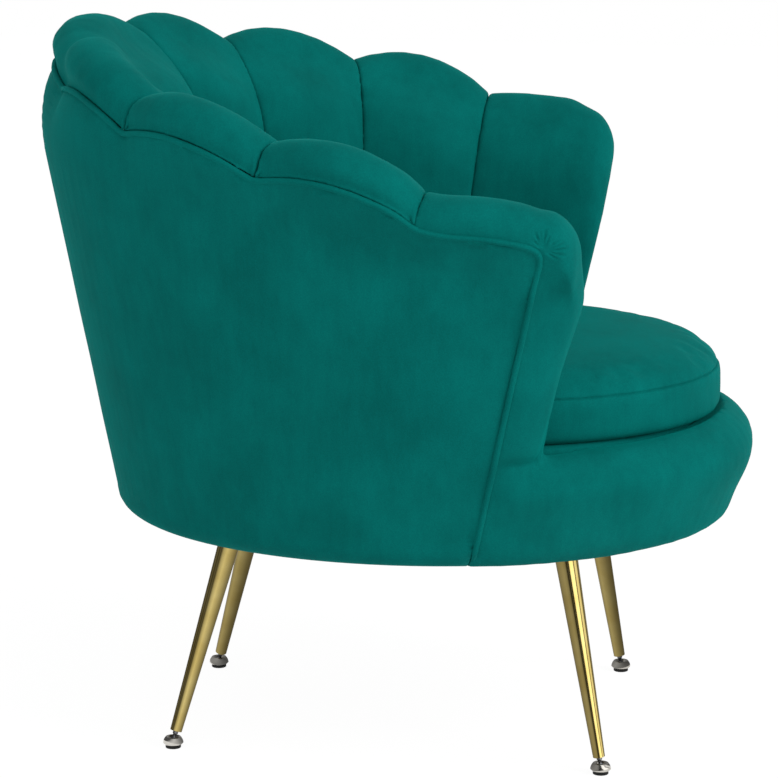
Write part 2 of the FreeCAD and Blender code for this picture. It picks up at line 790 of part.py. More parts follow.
def oval_plate(name, inset, low, thick):
    """A flat oval sheet; inset, low and thick are formulas."""
    edge = doc.addObject("Part::Ellipse", name + "_edge")
    bind(edge, "MajorRadius", "(WallRear + WallFront) / 2 - (%s)" % inset)
    bind(edge, "MinorRadius", "WallHalfWidth - (%s)" % inset)
    edge.Placement = FreeCAD.Placement(V(0, 0, 0), FreeCAD.Rotation(UP, 90))
    bind(edge, "Placement.Base.y", "(WallRear - WallFront) / 2")
    bind(edge, "Placement.Base.z", low)
    plate = doc.addObject("Part::Extrusion", name)
    plate.Label = name
    plate.Base = edge
    plate.DirMode = "Custom"
    plate.Dir = UP
    plate.Solid = True
    bind(plate, "LengthFwd", thick)
    return plate


def build_flat_timber():
    board = oval_plate("board_blank", "EdgeInset", BOARD_LOW, "BoardThick")
    dust = oval_plate("dust_blank", "DustInset", BOARD_LOW + " - DustThick", "DustThick")
    bores = screw_bores()
    keep(cut("base_board", board, bores))
    keep(cut("dust_cover", dust, bores))
    ring_low = BOARD_TOP + " + BlockHigh"
    ring = oval_plate("ring_blank", "RingInset", ring_low, "BoardThick")
    hole = oval_plate("ring_hole", "RingInset + RingWidth", ring_low, "BoardThick")
    keep(cut("seat_ring", ring, hole))
    keep(oval_plate("deck_pad", "RingInset", PAD_LOW, "DeckThick - Gap"))


def build_seat_blocks():
    """Six blocks that carry the seat ring on the base board."""
    blocks = []
    middle = foot_oval(size("RingInset") + size("RingWidth") / 2)
    for index, angle in enumerate((32, 96, 145, -32, -96, -145)):
        centre = oval_point(middle(0), angle)
        turn = FreeCAD.Rotation(UP, -angle)
        corner = turn.multVec(V(-size("BlockLong") / 2, -size("BlockDeep") / 2, 0))
        place = FreeCAD.Placement(centre + corner, turn)
        block = primitive("Box", "seat_block_%d" % index, place, Length="BlockLong", Width="BlockDeep",
                          Height="BlockHigh")
        bind(block, "Placement.Base.z", BOARD_TOP)
        blocks.append(block)
    keep(group("Compound", "seat_blocks", blocks))


# ---------------------------------------------------------------- ribs, posts and top rail

def upright_wire(section, ahead):
    """Outline of one side of an upright, a distance ahead of its section."""
    foot, deck = board_top(), deck_height()
    here = section.angle + math.degrees(ahead / section.origin.Length)
    head = rail_top(Section(here)) - size("RailHigh") - size("Gap") / 2
    ring_edge = foot_oval(size("RingInset") - size("Gap"))
    low = wall_base()
    bend = cover_top(section) - size("CoverBend")
    neck = (bend + head) / 2

    def back_edge(height):
        """Reach of the edge that backs the outside cover."""
        return skin_reach(section, height, ahead) - size("Gap")

    outline = [(section.reach(ring_edge, foot, ahead), foot), (back_edge(low) - size("Step"), foot),
               (back_edge(low), low), (back_edge(bend), bend), (back_edge(neck), neck),
               (back_edge(head), head), (section.reach(frame_oval, head, ahead), head),
               (section.reach(frame_oval, deck, ahead), deck), (section.reach(ring_edge, deck, ahead), deck)]
    corners = [section.point(r, z, ahead) for r, z in outline]
    return Part.Wire(polyline_edges(corners + corners[:1]))


def upright(angle, ahead, rail):
    """A plywood upright in one section of the tub, from the board up to the top rail it is fitted to."""
    section = Section(angle)
    sides = [upright_wire(section, ahead), upright_wire(section, ahead + size("BoardThick"))]
    return largest(solid_loft(sides).cut(rail))


def build_uprights(rail):
    names = ("rear", "shoulder", "side", "arm")
    for name, angle in zip(names, seam_angles()):
        both_sides("rib_%s_%%s" % name, upright(angle, -size("BoardThick") / 2, rail))
    both_sides("arm_post_%s", upright(size("ArmAngle"), -size("BoardThick") - size("Gap"), rail))


def rail_wire(angle):
    section = Section(angle)
    top = rail_top(section)
    low = top - size("RailHigh")
    inner_top, inner_low = section.reach(frame_oval, top), section.reach(frame_oval, low)
    wide = size("RailWide")
    corners = [section.point(r, z) for r, z in ((inner_low, low), (inner_low + wide, low),
                                                (inner_top + wide, top), (inner_top, top))]
    return Part.Wire(polyline_edges(corners + corners[:1]))


def build_top_rail():
    angles = [-seam_angles()[0]] + seam_angles()
    spans = []
    for start, end in zip(angles, angles[1:]):
        spans.append(solid_loft([rail_wire(angle) for angle in spread(start, end, 9)]))
    spans += [mirrored(span) for span in spans[1:]]
    rail = spans[0].multiFuse(spans[1:])
    feature("top_rail", rail)
    return rail


# ---------------------------------------------------------------- springs and clips

def spring_span(across):
    """Where a spring's end bars lie, front and rear, for its distance from the middle."""
    half_width, half_depth, centre = foot_oval(size("RingInset") + size("RingWidth"))(0)
    inner = max(0.0, abs(across) - size("SpringHalf"))
    reach = half_depth * math.sqrt(1 - (inner / half_width) ** 2) + size("SpringRest")
    return centre - reach, centre + reach


def spring_shape(across):
    front, rear = spring_span(across)
    level = ring_top() + size("SpringWire") / 2
    bars = int(size("SpringBars"))
    points = []
    for index, y in enumerate(spread(front, rear, bars)):
        side = size("SpringHalf") * (1 if index % 2 else -1)
        points += [V(across + side, y, level), V(across - side, y, level)]
    return cord_along(points, size("SpringWire") / 2, WIRE_FLAT_COUNT)


def clip_shape(across, y):
    """A saddle over a spring's end bar."""
    length, wide, high = size("ClipLong"), size("ClipWide"), size("ClipHigh")
    base = ring_top()
    radius = size("SpringWire") / 2 + size("ClipPlay")
    block = Part.makeBox(length, wide, high, V(across - length / 2, y - wide / 2, base))
    centre = base + size("SpringWire") / 2
    start = V(across - length / 2 - 1, y, centre)
    channel = Part.makeCylinder(radius, length + 2, start, V(1, 0, 0))
    slot = Part.makeBox(length + 2, 2 * radius, centre - base + 1, start + V(0, -radius, base - centre - 1))
    return block.cut(channel.fuse(slot))


def build_springs():
    clips = []
    for index in range(5):
        across = (index - 2) * size("SpringPitch")
        feature("seat_spring_%d" % (index + 1), spring_shape(across))
        clips += [clip_shape(across, y) for y in spring_span(across)]
    feature("spring_clips", Part.makeCompound(clips))


# ---------------------------------------------------------------- legs

class Leg:
    """Where a leg stands and how it rakes; end is Front or Back, side 1 for the sitter's left."""
    def __init__(self, end, side):
        self.end = end
        self.name = "%s_%s" % (end.lower(), "left" if side > 0 else "right")
        way = 1 if end == "Back" else -1
        self.ground = V(side * size("Foot%sX" % end), way * size("Foot%sY" % end), 0)
        self.axis = V(-side * size("Rake%sX" % end), -way * size("Rake%sY" % end), 1)
        self.ball = self.ground + UP * size("BallHeight")
        self.head = self.ball + self.axis * (plate_low() - size("BallHeight"))
        self.length = ("((UnderHeight - BallHeight) * sqrt(1 + Rake%sX ^ 2 + Rake%sY ^ 2) - LegLift)"
                       % (end, end))

    def place(self, along):
        """A place on the leg's axis, a distance up from the ball's centre."""
        unit = V(self.axis).normalize()
        return FreeCAD.Placement(self.ball + unit * along, FreeCAD.Rotation(UP, unit))

    def screw_places(self):
        count = int(size("ScrewCount"))
        turns = [2 * math.pi * (index + 0.5) / count for index in range(count)]
        radius = size("ScrewCircle") / 2
        return [self.head + V(radius * math.cos(turn), radius * math.sin(turn), 0) for turn in turns]


def plate_low():
    return size("UnderHeight") + size("CoverThick") - size("DustThick") - size("PlateThick")


def screw_bores():
    """One tool for every bore that the plate screws need in board, dust cover and plates."""
    bores = []
    for leg in legs:
        for index, spot in enumerate(leg.screw_places()):
            place = FreeCAD.Placement(spot - UP, FreeCAD.Rotation())
            bores.append(primitive("Cylinder", "bore_%s_%d" % (leg.name, index), place,
                                   Radius="ScrewSize / 2 + ScrewPlay", Height="ScrewLong + 1.5"))
    return group("Compound", "screw_bores", bores)


def build_leg(leg):
    """A leg with its plate; gives back the threaded insert in its foot."""
    foot = leg.place(size("LegLift"))
    growth = "(LegTop - LegEnd) / 2 / %s" % leg.length
    outer = primitive("Cone", "outer_" + leg.name, foot, Radius1="LegEnd / 2",
                      Radius2="LegTop / 2 + LegSpare * %s" % growth, Height="%s + LegSpare" % leg.length)
    inner = primitive("Cone", "inner_" + leg.name, foot, Radius1="LegEnd / 2 - LegWall",
                      Radius2="LegTop / 2 - LegWall + LegSpare * %s" % growth,
                      Height="%s + LegSpare" % leg.length)
    corner = leg.head + V(-size("PlateSize"), -size("PlateSize"), 1)
    spare = primitive("Box", "spare_" + leg.name, FreeCAD.Placement(corner, FreeCAD.Rotation()),
                      Length="2 * PlateSize", Width="2 * PlateSize", Height="3 * LegSpare")
    tube = cut("tube_" + leg.name, cut("raked_" + leg.name, outer, inner), spare)
    disc = primitive("Cylinder", "disc_" + leg.name, FreeCAD.Placement(leg.head, FreeCAD.Rotation()),
                     Radius="PlateSize / 2", Height="PlateThick")
    plate = cut("plate_" + leg.name, disc, doc.getObject("screw_bores"))
    keep(group("MultiFuse", "leg_" + leg.name, [tube, plate]))

    bore = "StudSize / 2 + BallPlay"
    wall = "LegEnd / 2 - LegWall - InsertFit"
    corners = [(bore, "0"), (wall, "0"), ("%s + InsertLong * %s" % (wall, growth), "InsertLong"),
               (bore, "InsertLong")]
    return turned("leg_insert_" + leg.name, corners, foot)


def build_leg_screws():
    head, shank = "ScrewHead / 2", "ScrewSize / 2"
    corners = [("0", "-ScrewHeadHigh"), (head, "-ScrewHeadHigh"), (head, "0"), (shank, "0"),
               (shank, "ScrewLong"), ("0", "ScrewLong")]
    screw = turned("plate_screw", corners, FreeCAD.Placement())
    doc.recompute()
    copies = []
    for leg in legs:
        for spot in leg.screw_places():
            copies.append(screw.Shape.translated(spot))
    feature("leg_screws", Part.makeCompound(copies))


# ---------------------------------------------------------------- glides

def build_glide(leg):
    ball = leg.place(0)
    neck = leg.place(0)
    thread = leg.place(size("NeckLong"))
    pieces = [primitive("Sphere", "ball_" + leg.name, ball, Radius="BallSize / 2"),
              primitive("Cylinder", "neck_" + leg.name, neck, Radius="NeckSize / 2", Height="NeckLong"),
              primitive("Cylinder", "thread_" + leg.name, thread, Radius="StudSize / 2", Height="StudLong")]
    keep(group("MultiFuse", "glide_stud_" + leg.name, pieces))

    def at(alias):
        place = FreeCAD.Placement(leg.ground, FreeCAD.Rotation())
        place.Base.z = size(alias)
        return place

    cap = primitive("Sphere", "cap_" + leg.name, at("DomeCentre"), Radius="DomeRadius",
                    Angle1="asin((DomeLow - DomeCentre) / DomeRadius)",
                    Angle2="asin((DomeTop - DomeCentre) / DomeRadius)")
    bevel = primitive("Cone", "bevel_" + leg.name, at("PadThick"), Radius1="DomeSize / 2 - DomeEdge",
                      Radius2="DomeSize / 2", Height="DomeLow - PadThick")
    socket = primitive("Sphere", "socket_" + leg.name, at("BallHeight"), Radius="BallSize / 2 + BallPlay")
    mouth = "sqrt((BallSize / 2 + BallPlay) ^ 2 - (DomeMouth - BallHeight) ^ 2)"
    flare = primitive("Cone", "flare_" + leg.name, at("DomeMouth"), Radius1=mouth,
                      Radius2="%s + DomeTop + 1 - DomeMouth" % mouth, Height="DomeTop + 1 - DomeMouth")
    bore = primitive("Cylinder", "bore_under_" + leg.name, at("PadThick"), Radius="DomeBore / 2",
                     Height="BallHeight - PadThick")
    blank = group("MultiFuse", "dome_blank_" + leg.name, [cap, bevel])
    hollow = group("MultiFuse", "dome_hollow_" + leg.name, [socket, flare, bore])
    keep(cut("glide_dome_" + leg.name, blank, hollow))

    pad = "PadSize / 2"
    corners = [("0", "0"), (pad + " - PadEdge", "0"), (pad, "PadEdge"), (pad, "PadThick"),
               ("0", "PadThick")]
    keep(turned("glide_pad_" + leg.name, corners, FreeCAD.Placement(leg.ground, FreeCAD.Rotation())))


legs = [Leg(end, side) for end in ("Front", "Back") for side in (1, -1)]

build_petals()
build_outside_cover()
build_piping()
build_arm_fronts()
build_cushion()
build_base_front()
build_flat_timber()
build_seat_blocks()
build_uprights(build_top_rail())
build_springs()
keep(group("Compound", "leg_inserts", [build_leg(leg) for leg in legs]))
for leg in legs:
    build_glide(leg)
build_leg_screws()
doc.recompute()

# ---------------------------------------------------------------- check and write

for item in doc.Objects:
    if "Invalid" in item.State or "Error" in item.State:
        raise RuntimeError("%s did not rebuild: %s" % (item.Label, item.State))
for item in parts:
    shape = item.Shape
    if shape.isNull() or not shape.isValid() or shape.Volume <= 0 or not shape.Solids:
        raise RuntimeError("%s has no valid solid" % item.Label)

os.makedirs("parts", exist_ok=True)
for item in parts:
    item.Shape.exportStep("parts/%s.step" % item.Label)
print("wrote %d parts" % len(parts))
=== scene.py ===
# %% [markdown]
# # A scallop back armchair in velvet
# The chair is a low tub on four slender metal legs. Its back is channelled: padded ribs of
# velvet stand side by side and roll over the top edge, so that the rim reads as a row of
# scallops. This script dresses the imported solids: it gives each soft piece a fine, slightly
# slack skin, turns the metal parts again with many more faces, and builds each finish from nodes.

# %% Load the frame
import json
import math

import bmesh
import bpy
import numpy as np
from mathutils import Matrix, Vector
from mathutils.kdtree import KDTree


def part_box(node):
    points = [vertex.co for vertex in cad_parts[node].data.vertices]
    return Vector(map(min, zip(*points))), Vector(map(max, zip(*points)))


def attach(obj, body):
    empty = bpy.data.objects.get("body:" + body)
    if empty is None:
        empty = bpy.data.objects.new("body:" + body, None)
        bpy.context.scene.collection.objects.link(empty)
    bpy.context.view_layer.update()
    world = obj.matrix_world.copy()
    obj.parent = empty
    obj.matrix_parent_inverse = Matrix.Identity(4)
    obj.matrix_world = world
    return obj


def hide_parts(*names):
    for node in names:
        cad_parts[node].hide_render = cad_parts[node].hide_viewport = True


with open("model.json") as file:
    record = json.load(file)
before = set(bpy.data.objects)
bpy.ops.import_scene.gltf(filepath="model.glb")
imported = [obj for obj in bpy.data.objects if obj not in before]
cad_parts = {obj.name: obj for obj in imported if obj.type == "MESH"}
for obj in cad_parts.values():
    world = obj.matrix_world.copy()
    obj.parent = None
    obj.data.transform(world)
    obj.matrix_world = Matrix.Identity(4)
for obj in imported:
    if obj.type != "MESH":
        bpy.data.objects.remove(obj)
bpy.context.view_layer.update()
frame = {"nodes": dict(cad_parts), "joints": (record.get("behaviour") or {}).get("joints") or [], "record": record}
scene = bpy.context.scene
MM = 0.001

# %% [markdown]
# ## Colours and nodes
# Colours are written as the hex values that a painter's chart gives. Shaders calculate with
# linear light, so one function turns the first into the second. A second function adds one
# node with its settings and its links, which keeps each material short enough to read.

# %% Helpers for finishes
def linear(hex_code):
    """An sRGB hex colour as linear red, green, blue and alpha."""
    parts = [int(hex_code[i:i + 2], 16) / 255 for i in (1, 3, 5)]
    return [p / 12.92 if p <= 0.04045 else ((p + 0.055) / 1.055) ** 2.4 for p in parts] + [1.0]


def add(material, kind, values=None, links=None, **settings):
    """One node: settings on itself, values on its inputs, links from (node, output) pairs."""
    tree = material.node_tree
    node = tree.nodes.new("ShaderNode" + kind)
    for key, value in settings.items():
        setattr(node, key, value)
    for key, value in (values or {}).items():
        node.inputs[key].default_value = value
    for key, (source, output) in (links or {}).items():
        tree.links.new(source.outputs[output], node.inputs[key])
    return node


def finish_named(name):
    """An empty node material and its output node."""
    material = bpy.data.materials.new(name)
    material.use_nodes = True
    material.node_tree.nodes.clear()
    return material, add(material, "OutputMaterial")


def close(material, output, shader):
    """Links the last shader of a material to its output."""
    material.node_tree.links.new(shader.outputs[0], output.inputs["Surface"])
    return material


def ramp(material, source, output, low_stop, low_colour, high_stop, high_colour):
    """A colour ramp between two hex colours, driven by another node."""
    node = add(material, "ValToRGB", links={"Fac": (source, output)})
    node.color_ramp.elements[0].position = low_stop
    node.color_ramp.elements[0].color = linear(low_colour)
    node.color_ramp.elements[1].position = high_stop
    node.color_ramp.elements[1].color = linear(high_colour)
    return node


# %% [markdown]
# ## Velvet
# Velvet is a woven cloth with a dense cut pile. The pile stands nearly upright, so the cloth
# looks deep and dark from straight ahead and pale where the eye grazes it: that is the sheen.
# Wherever a hand has brushed the pile it leans another way, which gives soft patches about as
# wide as a palm. Real tufts are a third of a millimetre apart, too fine to show, so the pile is
# drawn here at about 1.4 mm.

# %% Velvet finish
TUFT = 1.4 * MM
BRUSHED_PATCH = 70 * MM
NAP_STREAK = 9 * MM
STREAK_STRETCH = (1, 1, 0.18)
PILE_DEPTH = 0.3 * MM


def cut_pile_velvet():
    """Brushed patches, streaks of nap that run down the cloth, and fine tufts."""
    velvet, output = finish_named("cut_pile_velvet")
    place = add(velvet, "TexCoord")
    patches = add(velvet, "TexNoise", {"Scale": 1 / BRUSHED_PATCH, "Detail": 3.0, "Roughness": 0.5},
                  {"Vector": (place, "Object")})
    down = add(velvet, "Mapping", {"Scale": STREAK_STRETCH}, {"Vector": (place, "Object")})
    streaks = add(velvet, "TexNoise", {"Scale": 1 / NAP_STREAK, "Detail": 2.0, "Roughness": 0.6},
                  {"Vector": (down, "Vector")})
    tufts = add(velvet, "TexNoise", {"Scale": 1 / TUFT, "Detail": 3.0, "Roughness": 0.65},
                {"Vector": (place, "Object")})
    lean = add(velvet, "Math", {1: 0.35}, {0: (streaks, "Fac"), 2: (patches, "Fac")},
               operation="MULTIPLY_ADD")
    deep = ramp(velvet, lean, "Value", 0.42, "#046A65", 0.92, "#067C76")
    fleck = ramp(velvet, tufts, "Fac", 0.25, "#DDDDDD", 0.75, "#FFFFFF")
    colour = add(velvet, "Mix", {"Factor": 1.0}, {6: (deep, "Color"), 7: (fleck, "Color")},
                 data_type="RGBA", blend_type="MULTIPLY")
    rough = add(velvet, "MapRange", {"To Min": 0.72, "To Max": 0.9}, {"Value": (patches, "Fac")})
    pile = add(velvet, "Bump", {"Strength": 0.35, "Distance": PILE_DEPTH}, {"Height": (tufts, "Fac")})
    shader = add(velvet, "BsdfPrincipled",
                 {"Specular IOR Level": 0.03, "Sheen Weight": 0.26, "Sheen Roughness": 0.4,
                  "Sheen Tint": linear("#00C8BC")},
                 {"Base Color": (colour, 2), "Roughness": (rough, "Result"), "Normal": (pile, "Normal")})
    return close(velvet, output, shader)


VELVET = cut_pile_velvet()

# %% [markdown]
# ## Metals
# The legs are steel tube, drawn to a taper, polished and plated in brass. Polishing runs round
# the leg, so what is left of it is a set of very fine rings. The glide's dome is nickel plated,
# cooler and a little softer. Studs and screws are plain zinc plated steel, and the springs are
# blued steel, which is darker.

# %% Metal finishes
RING_STRETCH = (0.03, 0.03, 1)
TONE_CLOUD = 25 * MM


def plated(name, low_colour, high_colour, smooth, dull, ring, depth):
    """A polished plate whose fine rings lie level, with a cloudy change of tone."""
    metal, output = finish_named(name)
    place = add(metal, "TexCoord")
    level = add(metal, "Mapping", {"Scale": RING_STRETCH}, {"Vector": (place, "Object")})
    rings = add(metal, "TexNoise", {"Scale": 1 / ring, "Detail": 4.0, "Roughness": 0.6},
                {"Vector": (level, "Vector")})
    clouds = add(metal, "TexNoise", {"Scale": 1 / TONE_CLOUD, "Detail": 3.0},
                 {"Vector": (place, "Object")})
    colour = ramp(metal, clouds, "Fac", 0.3, low_colour, 0.7, high_colour)
    rough = add(metal, "MapRange", {"To Min": smooth, "To Max": dull}, {"Value": (rings, "Fac")})
    bump = add(metal, "Bump", {"Strength": 0.2, "Distance": depth}, {"Height": (rings, "Fac")})
    shader = add(metal, "BsdfPrincipled", {"Metallic": 1.0},
                 {"Base Color": (colour, "Color"), "Roughness": (rough, "Result"),
                  "Normal": (bump, "Normal")})
    return close(metal, output, shader)


BRASS = plated("polished_brass_plate", "#DCC272", "#EBD58A", 0.07, 0.16, 1.2 * MM, 0.015 * MM)
NICKEL = plated("bright_nickel_plate", "#BDB9B0", "#D6D3CC", 0.1, 0.24, 0.8 * MM, 0.02 * MM)
ZINC = plated("zinc_plated_steel", "#7C7D80", "#A9AAAC", 0.28, 0.45, 1.0 * MM, 0.05 * MM)
SPRING_STEEL = plated("blued_spring_steel", "#3B3E44", "#5C6068", 0.3, 0.5, 1.0 * MM, 0.05 * MM)

# %% [markdown]
# ## Rubber, cloth, timber and foam
# The glide's pad is moulded black rubber: matt, with a fine pitted skin. The dust cover is a
# black non-woven cloth whose pressed fibres show as grey flecks. The plywood, the foam and the
# springs are inside the chair; they get true finishes all the same, for whoever opens it up.

# %% Plain finishes
def speckled(name, low_colour, high_colour, grain, roughness, depth, stretch=(1, 1, 1)):
    """A matt finish with one grain: pits, fibres, cells or wood pores, by size and stretch."""
    matt, output = finish_named(name)
    place = add(matt, "TexCoord")
    along = add(matt, "Mapping", {"Scale": stretch}, {"Vector": (place, "Object")})
    grains = add(matt, "TexNoise", {"Scale": 1 / grain, "Detail": 5.0, "Roughness": 0.6},
                 {"Vector": (along, "Vector")})
    colour = ramp(matt, grains, "Fac", 0.35, low_colour, 0.65, high_colour)
    rough = add(matt, "MapRange", {"To Min": roughness - 0.1, "To Max": roughness + 0.1},
                {"Value": (grains, "Fac")})
    bump = add(matt, "Bump", {"Strength": 0.4, "Distance": depth}, {"Height": (grains, "Fac")})
    shader = add(matt, "BsdfPrincipled", {"Specular IOR Level": 0.3},
                 {"Base Color": (colour, "Color"), "Roughness": (rough, "Result"),
                  "Normal": (bump, "Normal")})
    return close(matt, output, shader)


RUBBER = speckled("moulded_black_rubber", "#0E0E0E", "#1D1D1C", 0.7 * MM, 0.7, 0.1 * MM)
DUST_CLOTH = speckled("black_dust_cloth", "#101112", "#2A2B2C", 1.2 * MM, 0.85, 0.15 * MM, (1, 0.35, 1))
PLYWOOD = speckled("birch_plywood", "#A98556", "#CDAE7E", 3 * MM, 0.6, 0.1 * MM, (0.08, 1, 1))
FOAM = speckled("upholstery_foam", "#CFC6A4", "#E6DEC0", 1.5 * MM, 0.85, 0.4 * MM)

# %% [markdown]
# ## Soft skins
# A padded piece has no sharp edge: the cloth bridges every corner and follows the wadding. So
# each soft solid is copied, cut into small even squares, and relaxed. After that the copy can be
# pushed about a little, the way an upholsterer's hand leaves it.

# %% Helpers for soft pieces
SAME_POINT = 0.001 * MM
SLACK_WAVES = 9


def settled(piece):
    """Applies every modifier of a piece, so that the mesh is what it looks like."""
    graph = bpy.context.evaluated_depsgraph_get()
    mesh = bpy.data.meshes.new_from_object(piece.evaluated_get(graph))
    piece.modifiers.clear()
    piece.data = mesh
    return piece


def piece_from(work, name):
    """A new piece from a mesh that was worked on."""
    mesh = bpy.data.meshes.new(name)
    work.to_mesh(mesh)
    work.free()
    piece = bpy.data.objects.new(name, mesh)
    scene.collection.objects.link(piece)
    return piece


def linked_groups(work, longest=math.inf):
    """Points that hang together over edges shorter than a given length, group by group."""
    bmesh.ops.remove_doubles(work, verts=work.verts, dist=SAME_POINT)
    groups, seen = [], set()
    for start in work.verts:
        if start in seen:
            continue
        group, todo = [], [start]
        seen.add(start)
        while todo:
            vertex = todo.pop()
            group.append(vertex)
            for edge in vertex.link_edges:
                other = edge.other_vert(vertex)
                if other not in seen and edge.calc_length() < longest:
                    seen.add(other)
                    todo.append(other)
        groups.append(group)
    return groups


def copy_of(node, name):
    """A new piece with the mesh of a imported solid, its outer skin only."""
    piece = bpy.data.objects.new(name, frame["nodes"][node].data.copy())
    scene.collection.objects.link(piece)
    piece.data.materials.clear()
    work = bmesh.new()
    work.from_mesh(piece.data)
    islands = linked_groups(work)
    spans = [max(v.co.x for v in island) - min(v.co.x for v in island) for island in islands]
    outer = islands[spans.index(max(spans))]
    bmesh.ops.delete(work, geom=[v for island in islands if island is not outer for v in island],
                     context="VERTS")
    work.to_mesh(piece.data)
    work.free()
    return piece


def relaxed(piece, square, rounds):
    """Cuts a piece into even squares and lets its corners relax."""
    cut = piece.modifiers.new("squares", "REMESH")
    cut.mode, cut.voxel_size, cut.use_smooth_shade = "VOXEL", square, True
    ease = piece.modifiers.new("ease", "SMOOTH")
    ease.factor, ease.iterations = 0.5, rounds
    return settled(piece)


def cut_level(piece, levels):
    """Cuts a piece by level planes, so that it can bend there."""
    work = bmesh.new()
    work.from_mesh(piece.data)
    for level in levels:
        geometry = list(work.verts) + list(work.edges) + list(work.faces)
        bmesh.ops.bisect_plane(work, geom=geometry, plane_co=(0, 0, level), plane_no=(0, 0, 1))
    work.to_mesh(piece.data)
    work.free()


def points_of(piece):
    """The points of a piece as a table of three columns."""
    found = np.empty(len(piece.data.vertices) * 3)
    piece.data.vertices.foreach_get("co", found)
    return found.reshape(-1, 3)


def normals_of(piece):
    """The outward directions at the points of a piece."""
    found = np.empty(len(piece.data.vertices) * 3)
    piece.data.vertex_normals.foreach_get("vector", found)
    return found.reshape(-1, 3)


def set_points(piece, points):
    """Moves the points of a piece to new places."""
    piece.data.vertices.foreach_set("co", points.ravel())
    piece.data.update()


def eased_near(piece, weights, rounds):
    """Relaxes a piece by a weight at each point."""
    group = piece.vertex_groups.new(name="ease")
    for index, weight in enumerate(weights):
        if weight > 0.01:
            group.add([index], float(min(weight, 1)), "REPLACE")
    ease = piece.modifiers.new("ease", "SMOOTH")
    ease.vertex_group, ease.factor, ease.iterations = "ease", 0.5, rounds
    settled(piece)
    piece.vertex_groups.clear()


def slack(points, size, seed):
    """Soft random waves between -1 and 1, of a given size, the same on every run."""
    chance = np.random.default_rng(seed)
    waves = np.zeros(len(points))
    for _ in range(SLACK_WAVES):
        direction = chance.normal(size=3)
        direction *= 2 * math.pi / size / np.linalg.norm(direction) * chance.uniform(0.6, 1.5)
        waves += np.sin(points @ direction + chance.uniform(0, 2 * math.pi))
    return waves / (SLACK_WAVES / 2)


def sharpened(piece, degrees):
    """Keeps edges sharper than an angle crisp under smooth shading."""
    piece.data.set_sharp_from_angle(angle=math.radians(degrees))


def dress(piece, finish, slot_name, body, *nodes):
    """Gives a piece its finish and place, and lets it stand for its solids."""
    piece.data.materials.clear()
    piece.data.materials.append(finish)
    piece.data.polygons.foreach_set("use_smooth", [True] * len(piece.data.polygons))
    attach(piece, body)
    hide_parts(*nodes)


# %% [markdown]
# ## Where things lie on the tub
# The tub is an oval, so a place on it is told by its angle from the middle of the rear. An arm
# front grows forward from one leaning plane, the back face of its solid; how far a point lies
# ahead of that plane is its second measure. The third is the line of the piping, read from the
# piping's own solid ring by ring.

# %% Measures on the tub
CREST_HALF_WIDTH, CREST_DEPTH, CREST_CENTRE = 329 * MM, 354 * MM, 62.6 * MM
ARM_TURN = math.radians(14.36)
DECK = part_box("seat_cushion_cover")[0].z
SIDES = {"left": 1, "right": -1}
ARM_BACK_TOP = 540 * MM
LEVELS, LEVEL_HALF = 12, 12 * MM  # level slices of the back face, and half of one's height
RING_EDGE = 3 * MM  # shorter than any edge that joins two rings of the piping's solid


def eased(values):
    """0 below 0, 1 above 1, and a soft step between them."""
    share = np.clip(values, 0, 1)
    return share * share * (3 - 2 * share)


def nearness(distance, reach):
    """1 at a place, and next to nothing two reaches away from it."""
    return np.exp(-(distance / reach) ** 2)


def tree_of(points):
    """A tree that quickly finds the nearest of many points."""
    tree = KDTree(len(points))
    for index, point in enumerate(points):
        tree.insert(point, index)
    tree.balance()
    return tree


def oval_angle(points):
    """Angle of each point round the tub, in degrees from the middle of the rear."""
    return np.degrees(np.arctan2(np.abs(points[:, 0]) / CREST_HALF_WIDTH,
                                 (points[:, 1] + CREST_CENTRE) / CREST_DEPTH))


def forward_of(side):
    """The level direction in which an arm front grows."""
    return np.array([-SIDES[side] * math.sin(ARM_TURN), -math.cos(ARM_TURN), 0])


def back_line(side):
    """Where the back face of an arm front lies along its forward direction, by height."""
    points = points_of(frame["nodes"]["arm_front_" + side])
    ahead = points @ forward_of(side)
    levels = np.linspace(DECK + 10 * MM, ARM_BACK_TOP, LEVELS)
    backs = [ahead[np.abs(points[:, 2] - level) < LEVEL_HALF].min() for level in levels]
    return np.polyfit(levels, backs, 1)


BACK_LINES = {side: back_line(side) for side in SIDES}


def ahead_of(points, side):
    """How far each point lies ahead of an arm front's back face."""
    return points @ forward_of(side) - np.polyval(BACK_LINES[side], points[:, 2])


def piping_rings():
    """Centres of the rings of the piping's solid, in order from one foot to the other."""
    work = bmesh.new()
    work.from_mesh(frame["nodes"]["piping"].data)
    centres = [np.mean([np.array(vertex.co) for vertex in ring], axis=0)
               for ring in linked_groups(work, RING_EDGE)]
    work.free()
    here = min((c for c in centres if c[0] < 0), key=lambda c: c[2])
    line = []
    while centres:
        nearest = min(range(len(centres)), key=lambda i: np.linalg.norm(centres[i] - here))
        here = centres.pop(nearest)
        line.append(here)
    return np.array(line)


# %% [markdown]
# ## Pulled by hand
# No two arms come out alike. The right arm's cloth is drawn down a centimetre from its last seam
# forward and the left arm's hardly at all. Everything that is sewn together there, petal, arm
# front, piping and cover, takes the same pull. Each arm front is also fuller or slimmer than its
# solid, by a share for each height. Beside the piping the stitches draw every skin in and hold
# its edge on the cord.

